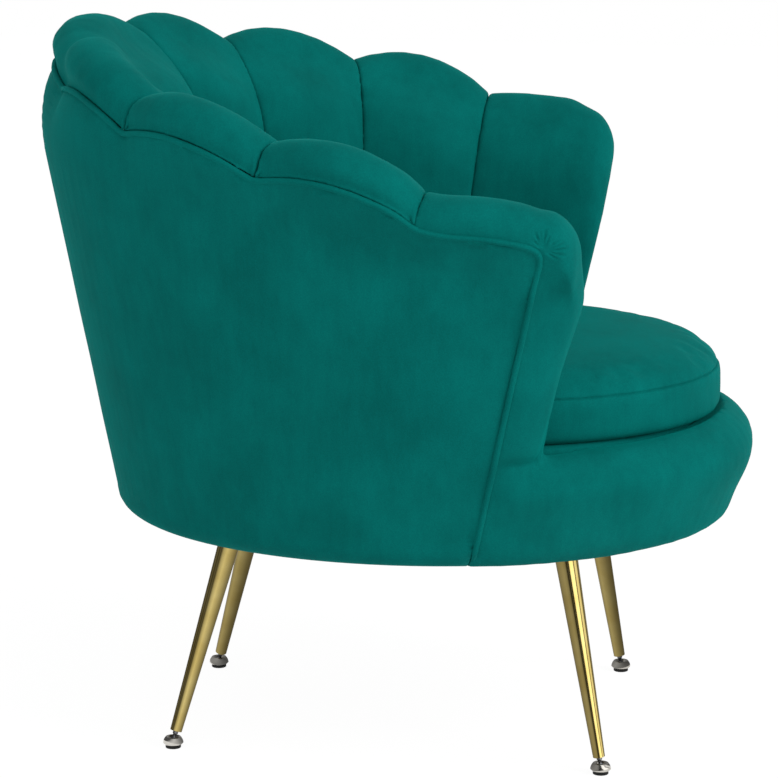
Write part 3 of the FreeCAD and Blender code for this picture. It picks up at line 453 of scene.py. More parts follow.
# %% Pull of the cloth at the arms
ARM_SINK = {"left": 2 * MM, "right": 10 * MM}
SINK_ANGLE, SINK_TURN = 87, 8  # degrees round the tub
SINK_HEIGHT, SINK_RISE = 500 * MM, 90 * MM
REAR_SEAM, REAR_SEAM_REACH = 19.1, 10  # degrees round the tub
FILLING, FILLING_POWER = 15 * MM, 1.6
FILLING_HEIGHT, FILLING_RISE = 698 * MM, 26 * MM
NOSE_SHARES = {
    # height above the deck in mm, share of the solid's depth
    "left": [(0, 0.66), (70, 0.75), (150, 0.85), (216, 0.94), (250, 0.94)],
    "right": [(0, 0.76), (90, 0.88), (165, 1.09), (210, 1.04), (250, 0.98)],
}


def sunk(points):
    """Lowers the top of each arm from its last seam forward."""
    amount = np.where(points[:, 0] > 0, ARM_SINK["left"], ARM_SINK["right"])
    moved = points.copy()
    turned_in = eased((oval_angle(points) - SINK_ANGLE) / SINK_TURN)
    moved[:, 2] -= amount * turned_in * eased((points[:, 2] - SINK_HEIGHT) / SINK_RISE)
    return moved


def filled(points):
    """Fills the valley of the rear seam on the right, where the wadding of two petals runs together."""
    angle = oval_angle(points) * np.where(points[:, 0] < 0, 1, -1)
    share = np.clip(1 - np.abs(angle - REAR_SEAM) / REAR_SEAM_REACH, 0, 1) ** FILLING_POWER
    moved = points.copy()
    moved[:, 2] += FILLING * share * eased((points[:, 2] - FILLING_HEIGHT) / FILLING_RISE)
    return moved


def slimmed(points, side):
    """Draws an arm front's nose towards the face it grows from, by a share for each height."""
    heights, shares = zip(*NOSE_SHARES[side])
    share = np.interp((points[:, 2] - DECK) / MM, heights, shares)
    return points + forward_of(side) * (ahead_of(points, side) * (share - 1))[:, None]


def evened(line, gap):
    """A line with points every gap along it."""
    steps = np.linalg.norm(np.diff(line, axis=0), axis=1)
    run = np.concatenate([[0], np.cumsum(steps)])
    stops = np.linspace(0, run[-1], int(run[-1] / gap) + 1)
    return np.column_stack([np.interp(stops, run, line[:, axis]) for axis in range(3)])


def softened(line, rounds, weights=1.0):
    """A line whose corners are rounded, by one weight or one for each point, with its ends kept."""
    line = line.copy()
    for _ in range(rounds):
        middle = (line[:-2] + line[2:]) / 2
        share = 0.5 * (weights if np.isscalar(weights) else weights[1:-1, None])
        line[1:-1] += (middle - line[1:-1]) * share
    return line


def outwards_of(points):
    """Level directions away from the middle of the tub."""
    away = points - np.array([0, -CREST_CENTRE, 0])
    away[:, 2] = 0
    return away / np.linalg.norm(away, axis=1)[:, None]


PIPING_SINK = 0.9 * MM
LINE_STEP, LINE_ROUNDS = 3 * MM, 8
CORNER_REACH, CORNER_ROUNDS = 22 * MM, 26
rings = piping_rings()
CORNERS = {"right": sunk(rings[2:3])[0], "left": sunk(rings[-3:-2])[0]}
PIPING_LINE = softened(evened(sunk(rings), LINE_STEP), LINE_ROUNDS)
near_corner = sum(nearness(np.linalg.norm(PIPING_LINE - corner, axis=1), CORNER_REACH)
                  for corner in CORNERS.values())
PIPING_LINE = softened(PIPING_LINE, CORNER_ROUNDS, near_corner)
PIPING_LINE -= outwards_of(PIPING_LINE) * PIPING_SINK
line_tree = tree_of(PIPING_LINE)
print("piping: %.2f m long" % (np.linalg.norm(np.diff(PIPING_LINE, axis=0), axis=1).sum()))

HOLD_REACH = 9 * MM
FACING_GAIN = 1.5


def tucked(piece, depth, reach, hold, hold_reach=HOLD_REACH):
    """Draws a skin in beside the piping, where the stitches hold it, and its edge on to the cord."""
    points = points_of(piece)
    found = [line_tree.find(point) for point in points]
    nearest = np.array([place for place, _, _ in found])
    distance = np.array([gap for _, _, gap in found])
    facing = np.clip(FACING_GAIN * np.sum(normals_of(piece) * outwards_of(points), axis=1), 0, 1)
    pull = depth * nearness(distance, reach) * facing
    moved = points - normals_of(piece) * pull[:, None]
    share = hold * nearness(distance, hold_reach)
    set_points(piece, moved + (nearest - moved) * share[:, None])


# %% [markdown]
# ## The channelled back
# Each petal is a channel of velvet filled with wadding, sewn to its neighbour down the seat's
# side and rolled over the top rail. Between two channels the stitches pull the cloth into a
# narrow valley, and beside the piping they pull it under. The middle petal and its right
# neighbour are made of one skin, because their rolls run into each other at the rear. Lower down
# the seam between them is drawn in again. The last petal of each arm isn't made here, because its
# cloth is one with the arm front.

# %% Petals
PETAL_SQUARE = 3.2 * MM
PETAL_SWELLING = 1.3 * MM
PETAL_TUCK = (8.5 * MM, 24 * MM, 0.6)  # depth, reach, hold on the cord
TOUCHING = 2.5 * MM
RUN_TOGETHER = ["petal_centre", "petal_right_1"]
RUN_HEIGHT, RUN_RISE = 685 * MM, 30 * MM
RUN_REACH, RUN_ROUNDS = 45 * MM, 90
GROOVE_DEPTH, GROOVE_HALF = 2.4 * MM, 2.6 * MM


def off_seam(points, first, second):
    """Distance of each point from the plane in which two neighbouring petals meet."""
    tree = tree_of(points_of(frame["nodes"][second]))
    touching = np.array([p for p in points_of(frame["nodes"][first]) if tree.find(p)[2] < TOUCHING])
    middle = touching.mean(axis=0)
    return (points - middle) @ np.linalg.svd(touching - middle)[2][2]


def joined(name, nodes, swelling):
    """One piece from several solids that nearly touch."""
    work = bmesh.new()
    for node in nodes:
        part = copy_of(node, "part_of_" + name)
        points = points_of(part) + normals_of(part) * swelling
        if node.startswith("arm_front_"):
            points = slimmed(points, node.removeprefix("arm_front_"))
        set_points(part, sunk(points))
        work.from_mesh(part.data)
        bpy.data.objects.remove(part)
    return piece_from(work, name)


def run_together(petal):
    """Draws the seam of the joined pair in again low down, and lets their rolls merge above."""
    points = points_of(petal)
    aside = off_seam(points, *RUN_TOGETHER)
    upper = eased((points[:, 2] - RUN_HEIGHT) / RUN_RISE)
    groove = GROOVE_DEPTH * nearness(aside, GROOVE_HALF) * (1 - upper)
    set_points(petal, points - normals_of(petal) * groove[:, None])
    eased_near(petal, nearness(aside, RUN_REACH) * upper, RUN_ROUNDS)


petals = [name for name in sorted(frame["nodes"]) if name.startswith("petal") and not name.endswith("4")]
skins = [RUN_TOGETHER] + [[name] for name in petals if name not in RUN_TOGETHER]
for index, nodes in enumerate(skins):
    petal = relaxed(joined("velvet_" + nodes[0], nodes, PETAL_SWELLING), PETAL_SQUARE, 4)
    set_points(petal, filled(points_of(petal)))
    if nodes == RUN_TOGETHER:
        run_together(petal)
    points = points_of(petal)
    pushed = 0.4 * MM * slack(points, 90 * MM, index) + 0.2 * MM * slack(points, 30 * MM, 50 + index)
    set_points(petal, points + normals_of(petal) * pushed[:, None])
    tucked(petal, *PETAL_TUCK)
    dress(petal, VELVET, "velvet", "chair", *nodes)
print("petals: %d" % len(petals))

# %% [markdown]
# ## The outside cover
# One length of velvet goes round the outside of the tub, tight over board and thin wadding,
# and is turned under at the bottom. It is the flattest piece of the chair and shows the cloth
# itself best. Its solid is cut into level strips, so that it can take a slight wave and the
# pull at the arms. Away from the piping and the hem it is relaxed a little.

# %% Outside cover
STRIP = 10 * MM
WAVE_HEIGHT, WAVE_SIZE = 0.6 * MM, 150 * MM
WAVE_LOW, WAVE_RISE = 270 * MM, 80 * MM
WAVE_TOP, WAVE_FALL = 560 * MM, 60 * MM
CLEAR_OF_PIPING, CLEAR_RISE = 15 * MM, 35 * MM
CLEAR_OF_HEM, HEM_RISE = 265 * MM, 30 * MM
COVER_ROUNDS = 10
COVER_TUCK = (1.8 * MM, 9 * MM, 0.6)  # depth, reach, hold on the cord

cover = copy_of("outside_cover", "velvet_outside_cover")
cover_low, cover_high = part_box("outside_cover")
cut_level(cover, np.arange(cover_low.z + STRIP, cover_high.z, STRIP))
points = points_of(cover)
inside = (eased((points[:, 2] - WAVE_LOW) / WAVE_RISE)
          * eased((WAVE_TOP - points[:, 2]) / WAVE_FALL))
wave = WAVE_HEIGHT * inside * slack(points, WAVE_SIZE, 71)
set_points(cover, sunk(points + normals_of(cover) * wave[:, None]))
points = points_of(cover)
from_piping = np.array([line_tree.find(point)[2] for point in points])
clear = eased((from_piping - CLEAR_OF_PIPING) / CLEAR_RISE)
eased_near(cover, clear * eased((points[:, 2] - CLEAR_OF_HEM) / HEM_RISE), COVER_ROUNDS)
tucked(cover, *COVER_TUCK)
dress(cover, VELVET, "velvet", "chair", "outside_cover")
sharpened(cover, 50)

# %% [markdown]
# ## The front in one piece
# The velvet of each arm's last petal runs over the arm front and on into the bowed base front
# without a seam. So the solids are joined here: each is swollen by a little more than the gap
# between them, and one remesh makes a single skin of the lot. The step where an arm front stands
# on the base is then eased much more than the rest, as stretched cloth would bridge it, and so
# is the joint between each last petal and its arm front. The cushion presses down the top edge
# of the base front, and the top of each arm is lifted a little behind its arm front.

# %% Arm fronts and base front
FRONT_NODES = ("base_front", "arm_front_left", "arm_front_right", "petal_left_4", "petal_right_4")
FRONT_SQUARE = 3.2 * MM
FRONT_SWELLING = 1.1 * MM
FRONT_TUCK = (5.0 * MM, 17 * MM, 1.0, 14 * MM)  # depth, reach, hold, the hold's own reach
BRIDGE_REACH, BRIDGE_ROUNDS = 30 * MM, 70
BRIDGE_ANGLE, BRIDGE_SIDE = 100, 200 * MM  # degrees round the tub, distance from its middle
JOINT_HEIGHT, JOINT_RISE = 40 * MM, 40 * MM
JOINT_REACH, JOINT_ROUNDS = 20 * MM, 40
NOSE_START, NOSE_RISE = 16 * MM, 12 * MM
BROW_PRESS, BROW_HALF = 6 * MM, 260 * MM
BROW_BELOW, BROW_RISE = 22 * MM, 26 * MM
BROW_ABOVE, BROW_FALL = 40 * MM, 20 * MM
TOP_LIFT = {"left": 4.5 * MM, "right": 1.0 * MM}
LIFT_BACK, LIFT_REACH = 14 * MM, 25 * MM
LIFT_HEIGHT, LIFT_RISE = 560 * MM, 50 * MM

front = relaxed(joined("velvet_front", FRONT_NODES, FRONT_SWELLING), FRONT_SQUARE, 4)
points = points_of(front)
outer = oval_angle(points) > BRIDGE_ANGLE
ledge = nearness(points[:, 2] - DECK, BRIDGE_REACH) * outer * (np.abs(points[:, 0]) > BRIDGE_SIDE)
eased_near(front, ledge, BRIDGE_ROUNDS)
points = points_of(front)
joint = np.zeros(len(points))
for side, sign in SIDES.items():
    ahead = ahead_of(points, side)
    above = (points[:, 0] * sign > 0) * eased((points[:, 2] - DECK - JOINT_HEIGHT) / JOINT_RISE)
    joint += (nearness(ahead, JOINT_REACH) + eased((ahead - NOSE_START) / NOSE_RISE)) * above
eased_near(front, joint, JOINT_ROUNDS)
points = points_of(front)
brow = (np.abs(points[:, 0]) < BROW_HALF) * (points[:, 1] < 0)
points[:, 2] -= (BROW_PRESS * brow * eased((points[:, 2] - DECK + BROW_BELOW) / BROW_RISE)
                 * eased((DECK + BROW_ABOVE - points[:, 2]) / BROW_FALL))
set_points(front, points)
waves = 0.4 * MM * slack(points, 120 * MM, 72) + 0.15 * MM * slack(points, 30 * MM, 73)
set_points(front, points + normals_of(front) * waves[:, None])
for side, sign in SIDES.items():
    points = points_of(front)
    crest = nearness(ahead_of(points, side) + LIFT_BACK, LIFT_REACH) * (points[:, 0] * sign > 0)
    points[:, 2] += TOP_LIFT[side] * crest * eased((points[:, 2] - LIFT_HEIGHT) / LIFT_RISE)
    set_points(front, points)
tucked(front, *FRONT_TUCK)

# %% [markdown]
# ## Gathers at the arm's corner
# Where the roll turns down into the arm front there is too much cloth for the corner, and the
# upholsterer gathers it under the piping. The gathers radiate from the corner in two short
# fans, one upwards and one forwards. The skin gets finer squares there first, because a gather
# is narrower than a square. Each gather is a valley between two low ridges.

# %% Gathers
GATHER_REACH = 36 * MM
GATHERS = [
    # direction in degrees from straight ahead, start, end, depth and half width in mm
    (-30, 3, 18, 2.2, 1.4), (-14, 3, 24, 3.2, 1.4), (1, 3, 28, 3.8, 1.4),
    (15, 3, 24, 3.2, 1.3), (30, 4, 20, 2.4, 1.4),
    (68, 4, 17, 2.4, 1.3), (84, 3, 22, 3.4, 1.4), (99, 3, 20, 3.0, 1.3),
    (114, 3, 22, 3.2, 1.4), (131, 4, 16, 2.2, 1.4),
]
START_WIDTH, WIDENING = 0.6, 25 * MM  # share of the width at the corner, way to one width more
RIDGE_SHARE, RIDGE_WIDTH = 0.35, 2.2  # shares of the valley's depth and width


def finer_near(piece, places, reach):
    """Cuts the squares of a piece that lie near given places into nine."""
    work = bmesh.new()
    work.from_mesh(piece.data)
    edges = [edge for edge in work.edges
             if any((edge.verts[0].co - Vector(place)).length < reach for place in places)]
    bmesh.ops.subdivide_edges(work, edges=edges, cuts=2, use_grid_fill=True, smooth=0.6)
    work.to_mesh(piece.data)
    work.free()


def gathered(piece, side):
    """Pulls the two fans of gathers in at one arm's corner."""
    points, corner = points_of(piece), CORNERS[side]
    across, up = (points - corner) @ forward_of(side), points[:, 2] - corner[2]
    distance = np.hypot(across, up)
    within = np.linalg.norm(points - corner, axis=1) < GATHER_REACH
    pull = np.zeros(len(points))
    for degrees, start, end, depth, half in GATHERS:
        turn = math.radians(degrees)
        along = across * math.cos(turn) + up * math.sin(turn)
        aside = -across * math.sin(turn) + up * math.cos(turn)
        window = np.sin(math.pi * np.clip((along / MM - start) / (end - start), 0, 1)) ** 0.7
        spread = half * MM * (START_WIDTH + distance / WIDENING)
        ridges = RIDGE_SHARE * nearness(aside / spread, RIDGE_WIDTH)
        pull += depth * MM * window * (nearness(aside, spread) - ridges)
    set_points(piece, points - normals_of(piece) * (pull * within)[:, None])


finer_near(front, CORNERS.values(), GATHER_REACH)
for side in SIDES:
    gathered(front, side)
dress(front, VELVET, "velvet", "chair", *FRONT_NODES)
print("velvet front: %d faces" % len(front.data.polygons))

# %% [markdown]
# ## The piping
# The seam between back and outside cover hides in a piping: a cord in a bias strip of the same
# velvet. The strip is eased round every scallop, so the piping is never quite even, and its
# corners are round.

# %% Piping
PIPING_RADIUS, PIPING_UNEVEN = 2.9 * MM, 0.14 * MM
PIPING_WAVE = 0.25 * MM
PIPING_SIDES = 18
TAIL_STEPS, TAIL_TURN = 6, math.radians(11)


def tail(last_two):
    """Points that carry the piping on from its end, bent under the tub's bottom edge."""
    end, before = last_two
    step = np.linalg.norm(end - before)
    down, inward = (end - before) / step, -outwards_of(end[None])[0]
    points = []
    for number in range(TAIL_STEPS):
        turn = number * TAIL_TURN
        end = end + step * (down * math.cos(turn) + inward * math.sin(turn))
        points.append(end)
    return np.array(points)


def swept(name, line, radius, sides):
    """A round cord of a changing radius along a line, closed at both ends."""
    tangents = np.gradient(line, axis=0)
    tangents /= np.linalg.norm(tangents, axis=1)[:, None]
    outwards = outwards_of(line)
    first = outwards - tangents * np.sum(outwards * tangents, axis=1)[:, None]
    first /= np.linalg.norm(first, axis=1)[:, None]
    second = np.cross(tangents, first)
    work = bmesh.new()
    loops = []
    for point, u, v, r in zip(line, first, second, radius):
        loops.append([work.verts.new(point + r * (math.cos(a) * u + math.sin(a) * v))
                      for a in np.linspace(0, 2 * math.pi, sides, endpoint=False)])
    for low, high in zip(loops, loops[1:]):
        for i in range(sides):
            work.faces.new([low[i], low[(i + 1) % sides], high[(i + 1) % sides], high[i]])
    work.faces.new(loops[0][::-1])
    work.faces.new(loops[-1])
    bmesh.ops.recalc_face_normals(work, faces=work.faces)
    return piece_from(work, name)


line = np.vstack([tail(PIPING_LINE[:2])[::-1], PIPING_LINE, tail(PIPING_LINE[:-3:-1])])
line[:, 2] += PIPING_WAVE * slack(line, 60 * MM, 80)
radius = PIPING_RADIUS + PIPING_UNEVEN * slack(line, 13 * MM, 81)
piping = swept("velvet_piping", line, radius, PIPING_SIDES)
dress(piping, VELVET, "velvet", "chair", "piping")

# %% [markdown]
# ## The seat cushion
# The cushion is a boxed one: a crowned top panel sewn to an upright border. Its foam is a
# little too big for its cover, so the cover is inflated here with a short cloth simulation,
# and the seam is drawn in afterwards as a fine groove, because the simulation's squares are
# wider than a seam.

# %% Cushion
CUSHION_SQUARE, CUSHION_SHRINK = 5 * MM, 1.5 * MM
CUSHION_PRESSURE, CUSHION_FRAMES, CUSHION_CAP = 4.0, 14, 4 * MM
SEAM_HEIGHT = 47 * MM
SEAM_DEPTH = 2 * MM
SEAM_WIDTH = 2.2 * MM
SEAM_CUTS = (-2, -1, -0.4, 0, 0.4, 1, 2)  # in half widths of the seam
FOOT_SPREAD, FOOT_DROP = 3 * MM, 5 * MM
FOOT_TOP, FOOT_FALL, FOOT_EDGE = 34 * MM, 24 * MM, 5 * MM


def inflated(piece, pressure, frames, cap):
    """Blows a closed mesh up as cloth and stops each point after it has moved by cap."""
    rest = points_of(piece)
    cloth = piece.modifiers.new("cloth", "CLOTH")
    cloth.settings.use_pressure = True
    cloth.settings.uniform_pressure_force = pressure
    cloth.settings.effector_weights.gravity = 0
    cloth.settings.quality = 5
    for number in range(1, frames + 1):
        scene.frame_set(number)
    settled(piece)
    scene.frame_set(1)
    moved = points_of(piece) - rest
    length = np.linalg.norm(moved, axis=1)
    share = np.minimum(1, cap / np.maximum(length, 1e-9))
    set_points(piece, rest + moved * share[:, None])


cushion = relaxed(copy_of("seat_cushion_cover", "velvet_seat_cushion"), CUSHION_SQUARE, 6)
set_points(cushion, points_of(cushion) - normals_of(cushion) * CUSHION_SHRINK)
inflated(cushion, CUSHION_PRESSURE, CUSHION_FRAMES, CUSHION_CAP)
ease = cushion.modifiers.new("ease", "SMOOTH")
ease.factor, ease.iterations = 0.5, 4
finer = cushion.modifiers.new("finer", "SUBSURF")
finer.levels = finer.render_levels = 1
settled(cushion)
seam_level = DECK + SEAM_HEIGHT
cut_level(cushion, [seam_level + offset * SEAM_WIDTH / 2 for offset in SEAM_CUTS])
points = points_of(cushion)
groove = nearness(points[:, 2] - seam_level, SEAM_WIDTH / 2) * SEAM_DEPTH
points -= normals_of(cushion) * groove[:, None]
pressed = eased((DECK + FOOT_TOP - points[:, 2]) / FOOT_FALL)
spread = pressed * eased((points[:, 2] - DECK) / FOOT_EDGE) * FOOT_SPREAD
points += outwards_of(points) * spread[:, None]
points[:, 2] -= FOOT_DROP * pressed
points[:, 2] = np.maximum(points[:, 2], DECK)
set_points(cushion, points)
dress(cushion, VELVET, "velvet", "chair", "seat_cushion_cover", "seat_cushion_foam")

# %% [markdown]
# ## Under the cushion and under the chair
# The springs carry a pad covered in the same velvet, which the cushion presses flat. The black
# dust cover below the base board is one oval sheet, pulled tight and tacked at its edge, so it
# only sags a little in the middle.

# %% Deck pad and dust cover
PAD_SQUARE, PAD_WAVE = 5 * MM, 0.3 * MM

deck_pad = relaxed(copy_of("deck_pad", "deck_pad_in_cloth"), PAD_SQUARE, 5)
points = points_of(deck_pad)
wave = PAD_WAVE * slack(points, 60 * MM, 91)
set_points(deck_pad, points + normals_of(deck_pad) * wave[:, None])
dress(deck_pad, VELVET, "velvet", "chair", "deck_pad")

DUST_SAG, DUST_FREE = 3 * MM, 0.7  # the sag, and the share of the oval that is free to sag
DUST_RINGS, DUST_SPOKES = 24, 96


def dust_sheet():
    """The dust cover as one thin sheet that sags inside the legs."""
    low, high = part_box("dust_cover")
    middle = (low + high) / 2
    half_width, half_length = (high.x - low.x) / 2, (high.y - low.y) / 2
    work = bmesh.new()
    rings = [[work.verts.new((middle.x, middle.y, middle.z - DUST_SAG))]]
    for share in np.linspace(0, 1, DUST_RINGS + 1)[1:]:
        sag = DUST_SAG * max(0.0, 1 - (share / DUST_FREE) ** 2) ** 2
        rings.append([work.verts.new((middle.x + half_width * share * math.cos(turn),
                                      middle.y + half_length * share * math.sin(turn), middle.z - sag))
                      for turn in np.linspace(0, 2 * math.pi, DUST_SPOKES, endpoint=False)])
    for inner, outer in zip(rings, rings[1:]):
        for i in range(DUST_SPOKES):
            j = (i + 1) % DUST_SPOKES
            corners = [inner[i % len(inner)], outer[i], outer[j], inner[j % len(inner)]]
            work.faces.new(list(dict.fromkeys(corners)))
    sheet = piece_from(work, "dust_sheet")
    dress(sheet, DUST_CLOTH, "dust_cloth", "chair", "dust_cover")


dust_sheet()

# %% [markdown]
# ## Turned metal
# Legs, glides and studs are round, so each is made as its maker would: a profile turned about
# an axis. The axis of a leg is the line along which its leveller slides, which the frame's own
# joints give.

# %% Turned pieces
def leaned(axis):
    """The turn that leans an upright piece along an axis."""
    return Vector((0, 0, 1)).rotation_difference(Vector(axis)).to_matrix().to_4x4()


def turned(name, profile, base, axis, sides):
    """A piece turned about an axis from (radius, height) pairs; a zero radius closes it."""
    work = bmesh.new()
    rings = []
    for radius, height in profile:
        if radius == 0:
            rings.append([work.verts.new((0, 0, height))])
            continue
        ring = [work.verts.new((radius * math.cos(turn), radius * math.sin(turn), height))
                for turn in np.linspace(0, 2 * math.pi, sides, endpoint=False)]
        rings.append(ring)
    for low, high in zip(rings, rings[1:]):
        for i in range(sides):
            j = (i + 1) % sides
            corners = [low[i % len(low)], low[j % len(low)], high[j % len(high)], high[i % len(high)]]
            work.faces.new(list(dict.fromkeys(corners)))
    bmesh.ops.recalc_face_normals(work, faces=work.faces)
    piece = piece_from(work, name)
    piece.data.transform(Matrix.Translation(base) @ leaned(axis))
    return piece


def rounded(corners, radius, steps=4):
    """A profile with its inner corners rounded."""
    result = [corners[0]]
    for before, corner, after in zip(corners, corners[1:], corners[2:]):
        here = Vector(corner)
        back, ahead = Vector(before) - here, Vector(after) - here
        reach = min(radius, back.length * 0.45, ahead.length * 0.45)
        start, end = here + back.normalized() * reach, here + ahead.normalized() * reach
        for step in range(steps + 1):
            share = step / steps
            point = start * (1 - share) ** 2 + here * 2 * share * (1 - share) + end * share ** 2
            result.append(tuple(point))
    return result + [corners[-1]]


joints = {joint["name"]: joint for joint in frame["joints"]}
print("joints: %d" % len(joints))

# %% Legs and glides
LEG_TOP, LEG_END = 12 * MM, 6.25 * MM  # radii
LEG_LIFT, END_SUNK, LEG_IN_PLATE = 10.5 * MM, 0.6 * MM, 2 * MM
PLATE_HALF, PLATE_THICK = 25 * MM, 4 * MM
DOME_BALL, DOME_CENTRE = 10.85 * MM, 4.42 * MM
PAD_RADIUS, PAD_THICK = 8.2 * MM, 3.5 * MM
STUD_BALL, STUD_NECK = 4 * MM, 2 * MM  # radii
THREAD_ROOT, THREAD_CREST, THREAD_PITCH = 2.6 * MM, 2.95 * MM, 1 * MM
THREAD_START, STUD_TOP = 7.5 * MM, 41.5 * MM


def leg_axis(place):
    """The middle of a glide's ball, and the direction from it up the leg."""
    return Vector(joints["tilt_" + place]["pos_m"]), -Vector(joints["leveller_" + place]["axis"])


def leg_profile(length):
    """The leg, from its end sunk inside a narrow rim up the taper into its plate."""
    return rounded([(0, LEG_LIFT + END_SUNK), (LEG_END - 1.5 * MM, LEG_LIFT + END_SUNK),
                    (LEG_END - 1.2 * MM, LEG_LIFT), (LEG_END, LEG_LIFT),
                    (LEG_TOP, length + LEG_IN_PLATE), (0, length + LEG_IN_PLATE)], 0.5 * MM)


def disc_profile(radius, thickness, rounding):
    """A flat round disc."""
    return rounded([(0, 0), (radius, 0), (radius, thickness), (0, thickness)], rounding)


def dome_profile():
    """The glide's dome, from its bore over the bevel and the curve to the rim."""
    bevel = [(2.5 * MM, 3.5 * MM), (8.8 * MM, 3.5 * MM), (10.8 * MM, 5.5 * MM)]
    curve = [(math.sqrt(DOME_BALL ** 2 - (height - DOME_CENTRE) ** 2), height)
             for height in np.linspace(6.0 * MM, 11.8 * MM, 10)]
    return bevel + curve + [(7.2 * MM, 12 * MM), (6.2 * MM, 11.8 * MM), (4.0 * MM, 9.8 * MM),
                            (4.0 * MM, 7.2 * MM), (2.5 * MM, 5.0 * MM), (2.5 * MM, 3.5 * MM)]


def stud_profile():
    """The stud, from its ball over the neck and up the thread, which is drawn as rings."""
    turns = [math.radians(degrees) for degrees in range(-75, 61, 15)]
    stud = [(0, -STUD_BALL)]
    stud += [(STUD_BALL * math.cos(turn), STUD_BALL * math.sin(turn)) for turn in turns]
    stud += [(STUD_NECK, 4.2 * MM), (STUD_NECK, 7 * MM)]
    height = THREAD_START
    while height < STUD_TOP - THREAD_PITCH:
        stud += [(THREAD_ROOT, height), (THREAD_CREST, height + THREAD_PITCH / 2)]
        height += THREAD_PITCH
    return stud + [(THREAD_ROOT, STUD_TOP), (0, STUD_TOP)]


for place in ("front_left", "front_right", "back_left", "back_right"):
    ball, up = leg_axis(place)
    level = Vector((0, 0, 1))
    plate_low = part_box("leg_" + place)[1].z - PLATE_THICK
    length = (plate_low - ball.z) / up.z
    leg = turned("brass_leg_" + place, leg_profile(length), ball, up, 96)
    plate = turned("plate_" + place, disc_profile(PLATE_HALF, PLATE_THICK, 0.6 * MM),
                   ball + up * length, level, 64)
    for piece in (leg, plate):
        dress(piece, BRASS, "brass", "chair", "leg_" + place)
        sharpened(piece, 40)
    foot_base = Vector((ball.x, ball.y, 0))
    dome = turned("nickel_dome_" + place, dome_profile(), foot_base, level, 64)
    dress(dome, NICKEL, "nickel", "foot_" + place, "glide_dome_" + place)
    pad = turned("rubber_pad_" + place, disc_profile(PAD_RADIUS, PAD_THICK, 0.8 * MM),
                 foot_base, level, 64)
    dress(pad, RUBBER, "rubber", "foot_" + place, "glide_pad_" + place)
    stud = turned("zinc_stud_" + place, stud_profile(), ball, up, 48)
    dress(stud, ZINC, "zinc_steel", "stud_" + place, "glide_stud_" + place)
print("legs and glides: 4 each")

# %% [markdown]
# ## What stays as it was packed
# The timber, the springs, the clips and the screws are right as solids. They only need their
# finishes.

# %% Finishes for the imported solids
slot_finish = {"timber": PLYWOOD, "foam": FOAM, "spring_steel": SPRING_STEEL, "screw_steel": ZINC,
               "zinc_steel": ZINC, "dust_cloth": DUST_CLOTH, "velvet": VELVET, "brass": BRASS,
               "nickel": NICKEL, "rubber": RUBBER}
slot_of = {part["node"]: part["material_slot"] for part in frame["record"]["subparts"]}
for name, solid in frame["nodes"].items():
    solid.data.materials.clear()
    solid.data.materials.append(slot_finish[slot_of[name]])

# %% [markdown]
# ## Floor, light and camera
# The chair stands on a white sweep under a large soft light from the front, with a weaker one
# on its outer side. The floor is bright to the camera and still takes the chair's faint shadow.
# Polished metal shows nothing but what surrounds it, so each leg stands in a tube of card that
# only metal sees, and the card's tones change round the leg. The front right leg's card has
# black slits and lit stripes, the back right leg's is dark on one side, and the two left legs'
# is plain.

# %% Stage
def seen_directly(material):
    """1 for a ray from the camera, off polished metal or through glass, and 0 for diffuse light."""
    path = add(material, "LightPath")
    either = add(material, "Math", links={0: (path, "Is Camera Ray"), 1: (path, "Is Glossy Ray")},
                 operation="MAXIMUM")
    return add(material, "Math", links={0: (either, "Value"), 1: (path, "Is Transmission Ray")},
               operation="MAXIMUM")


def sweep_finish():
    """Matt white that glows to the camera and still takes a faint shadow."""
    white, output = finish_named("white_sweep")
    direct = seen_directly(white)
    matt = add(white, "BsdfDiffuse", {"Color": linear("#E4E4E4")})
    faint = add(white, "BsdfDiffuse", {"Color": linear("#5E5E5E")})
    glow = add(white, "Emission", {"Color": linear("#FFFFFF"), "Strength": 0.95})
    both = add(white, "AddShader", links={0: (faint, "BSDF"), 1: (glow, "Emission")})
    shader = add(white, "MixShader", links={0: (direct, "Value"), 1: (matt, "BSDF"), 2: (both, "Shader")})
    return close(white, output, shader)


FLOOR_HALF = 6
floor_corners = [(x * FLOOR_HALF, y * FLOOR_HALF, 0) for x, y in ((-1, -1), (1, -1), (1, 1), (-1, 1))]
floor_mesh = bpy.data.meshes.new("floor")
floor_mesh.from_pydata(floor_corners, [], [(0, 1, 2, 3)])
floor = bpy.data.objects.new("floor", floor_mesh)
scene.collection.objects.link(floor)
floor.data.materials.append(sweep_finish())

SLEEVE_RADIUS = 80 * MM
SLEEVE_PROFILE = [(0, -6 * MM), (SLEEVE_RADIUS, 26 * MM), (SLEEVE_RADIUS, 225 * MM)]
SLEEVE_TURN = 187
SLITS = [
    # turn round the leg from 0 to 1, brightness
    (0.0, 0.22), (0.12, 0.2), (0.25, 0.3), (0.36, 0.36), (0.43, 0.28), (0.455, 0.1), (0.47, 0.02),
    (0.49, 0.03), (0.5, 0.16), (0.51, 0.04), (0.535, 0.03), (0.55, 1.6), (0.64, 1.8), (0.655, 0.25),
    (0.68, 0.25), (0.69, 1.2), (0.76, 0.9), (0.785, 0.12), (0.82, 0.1), (0.86, 0.34), (1.0, 0.24),
]
ONE_SIDE = [
    (0.0, 0.34), (0.07, 0.14), (0.16, 0.05), (0.22, 0.15), (0.26, 0.04), (0.31, 0.12), (0.35, 0.06),
    (0.41, 0.5), (0.5, 0.78), (0.58, 0.6), (0.72, 0.32), (0.86, 0.16), (1.0, 0.3),
]
PLAIN_CARD = [
    (0.0, 0.2), (0.12, 0.3), (0.3, 0.42), (0.48, 0.28), (0.62, 0.17), (0.8, 0.1), (0.93, 0.16),
    (1.0, 0.2),
]
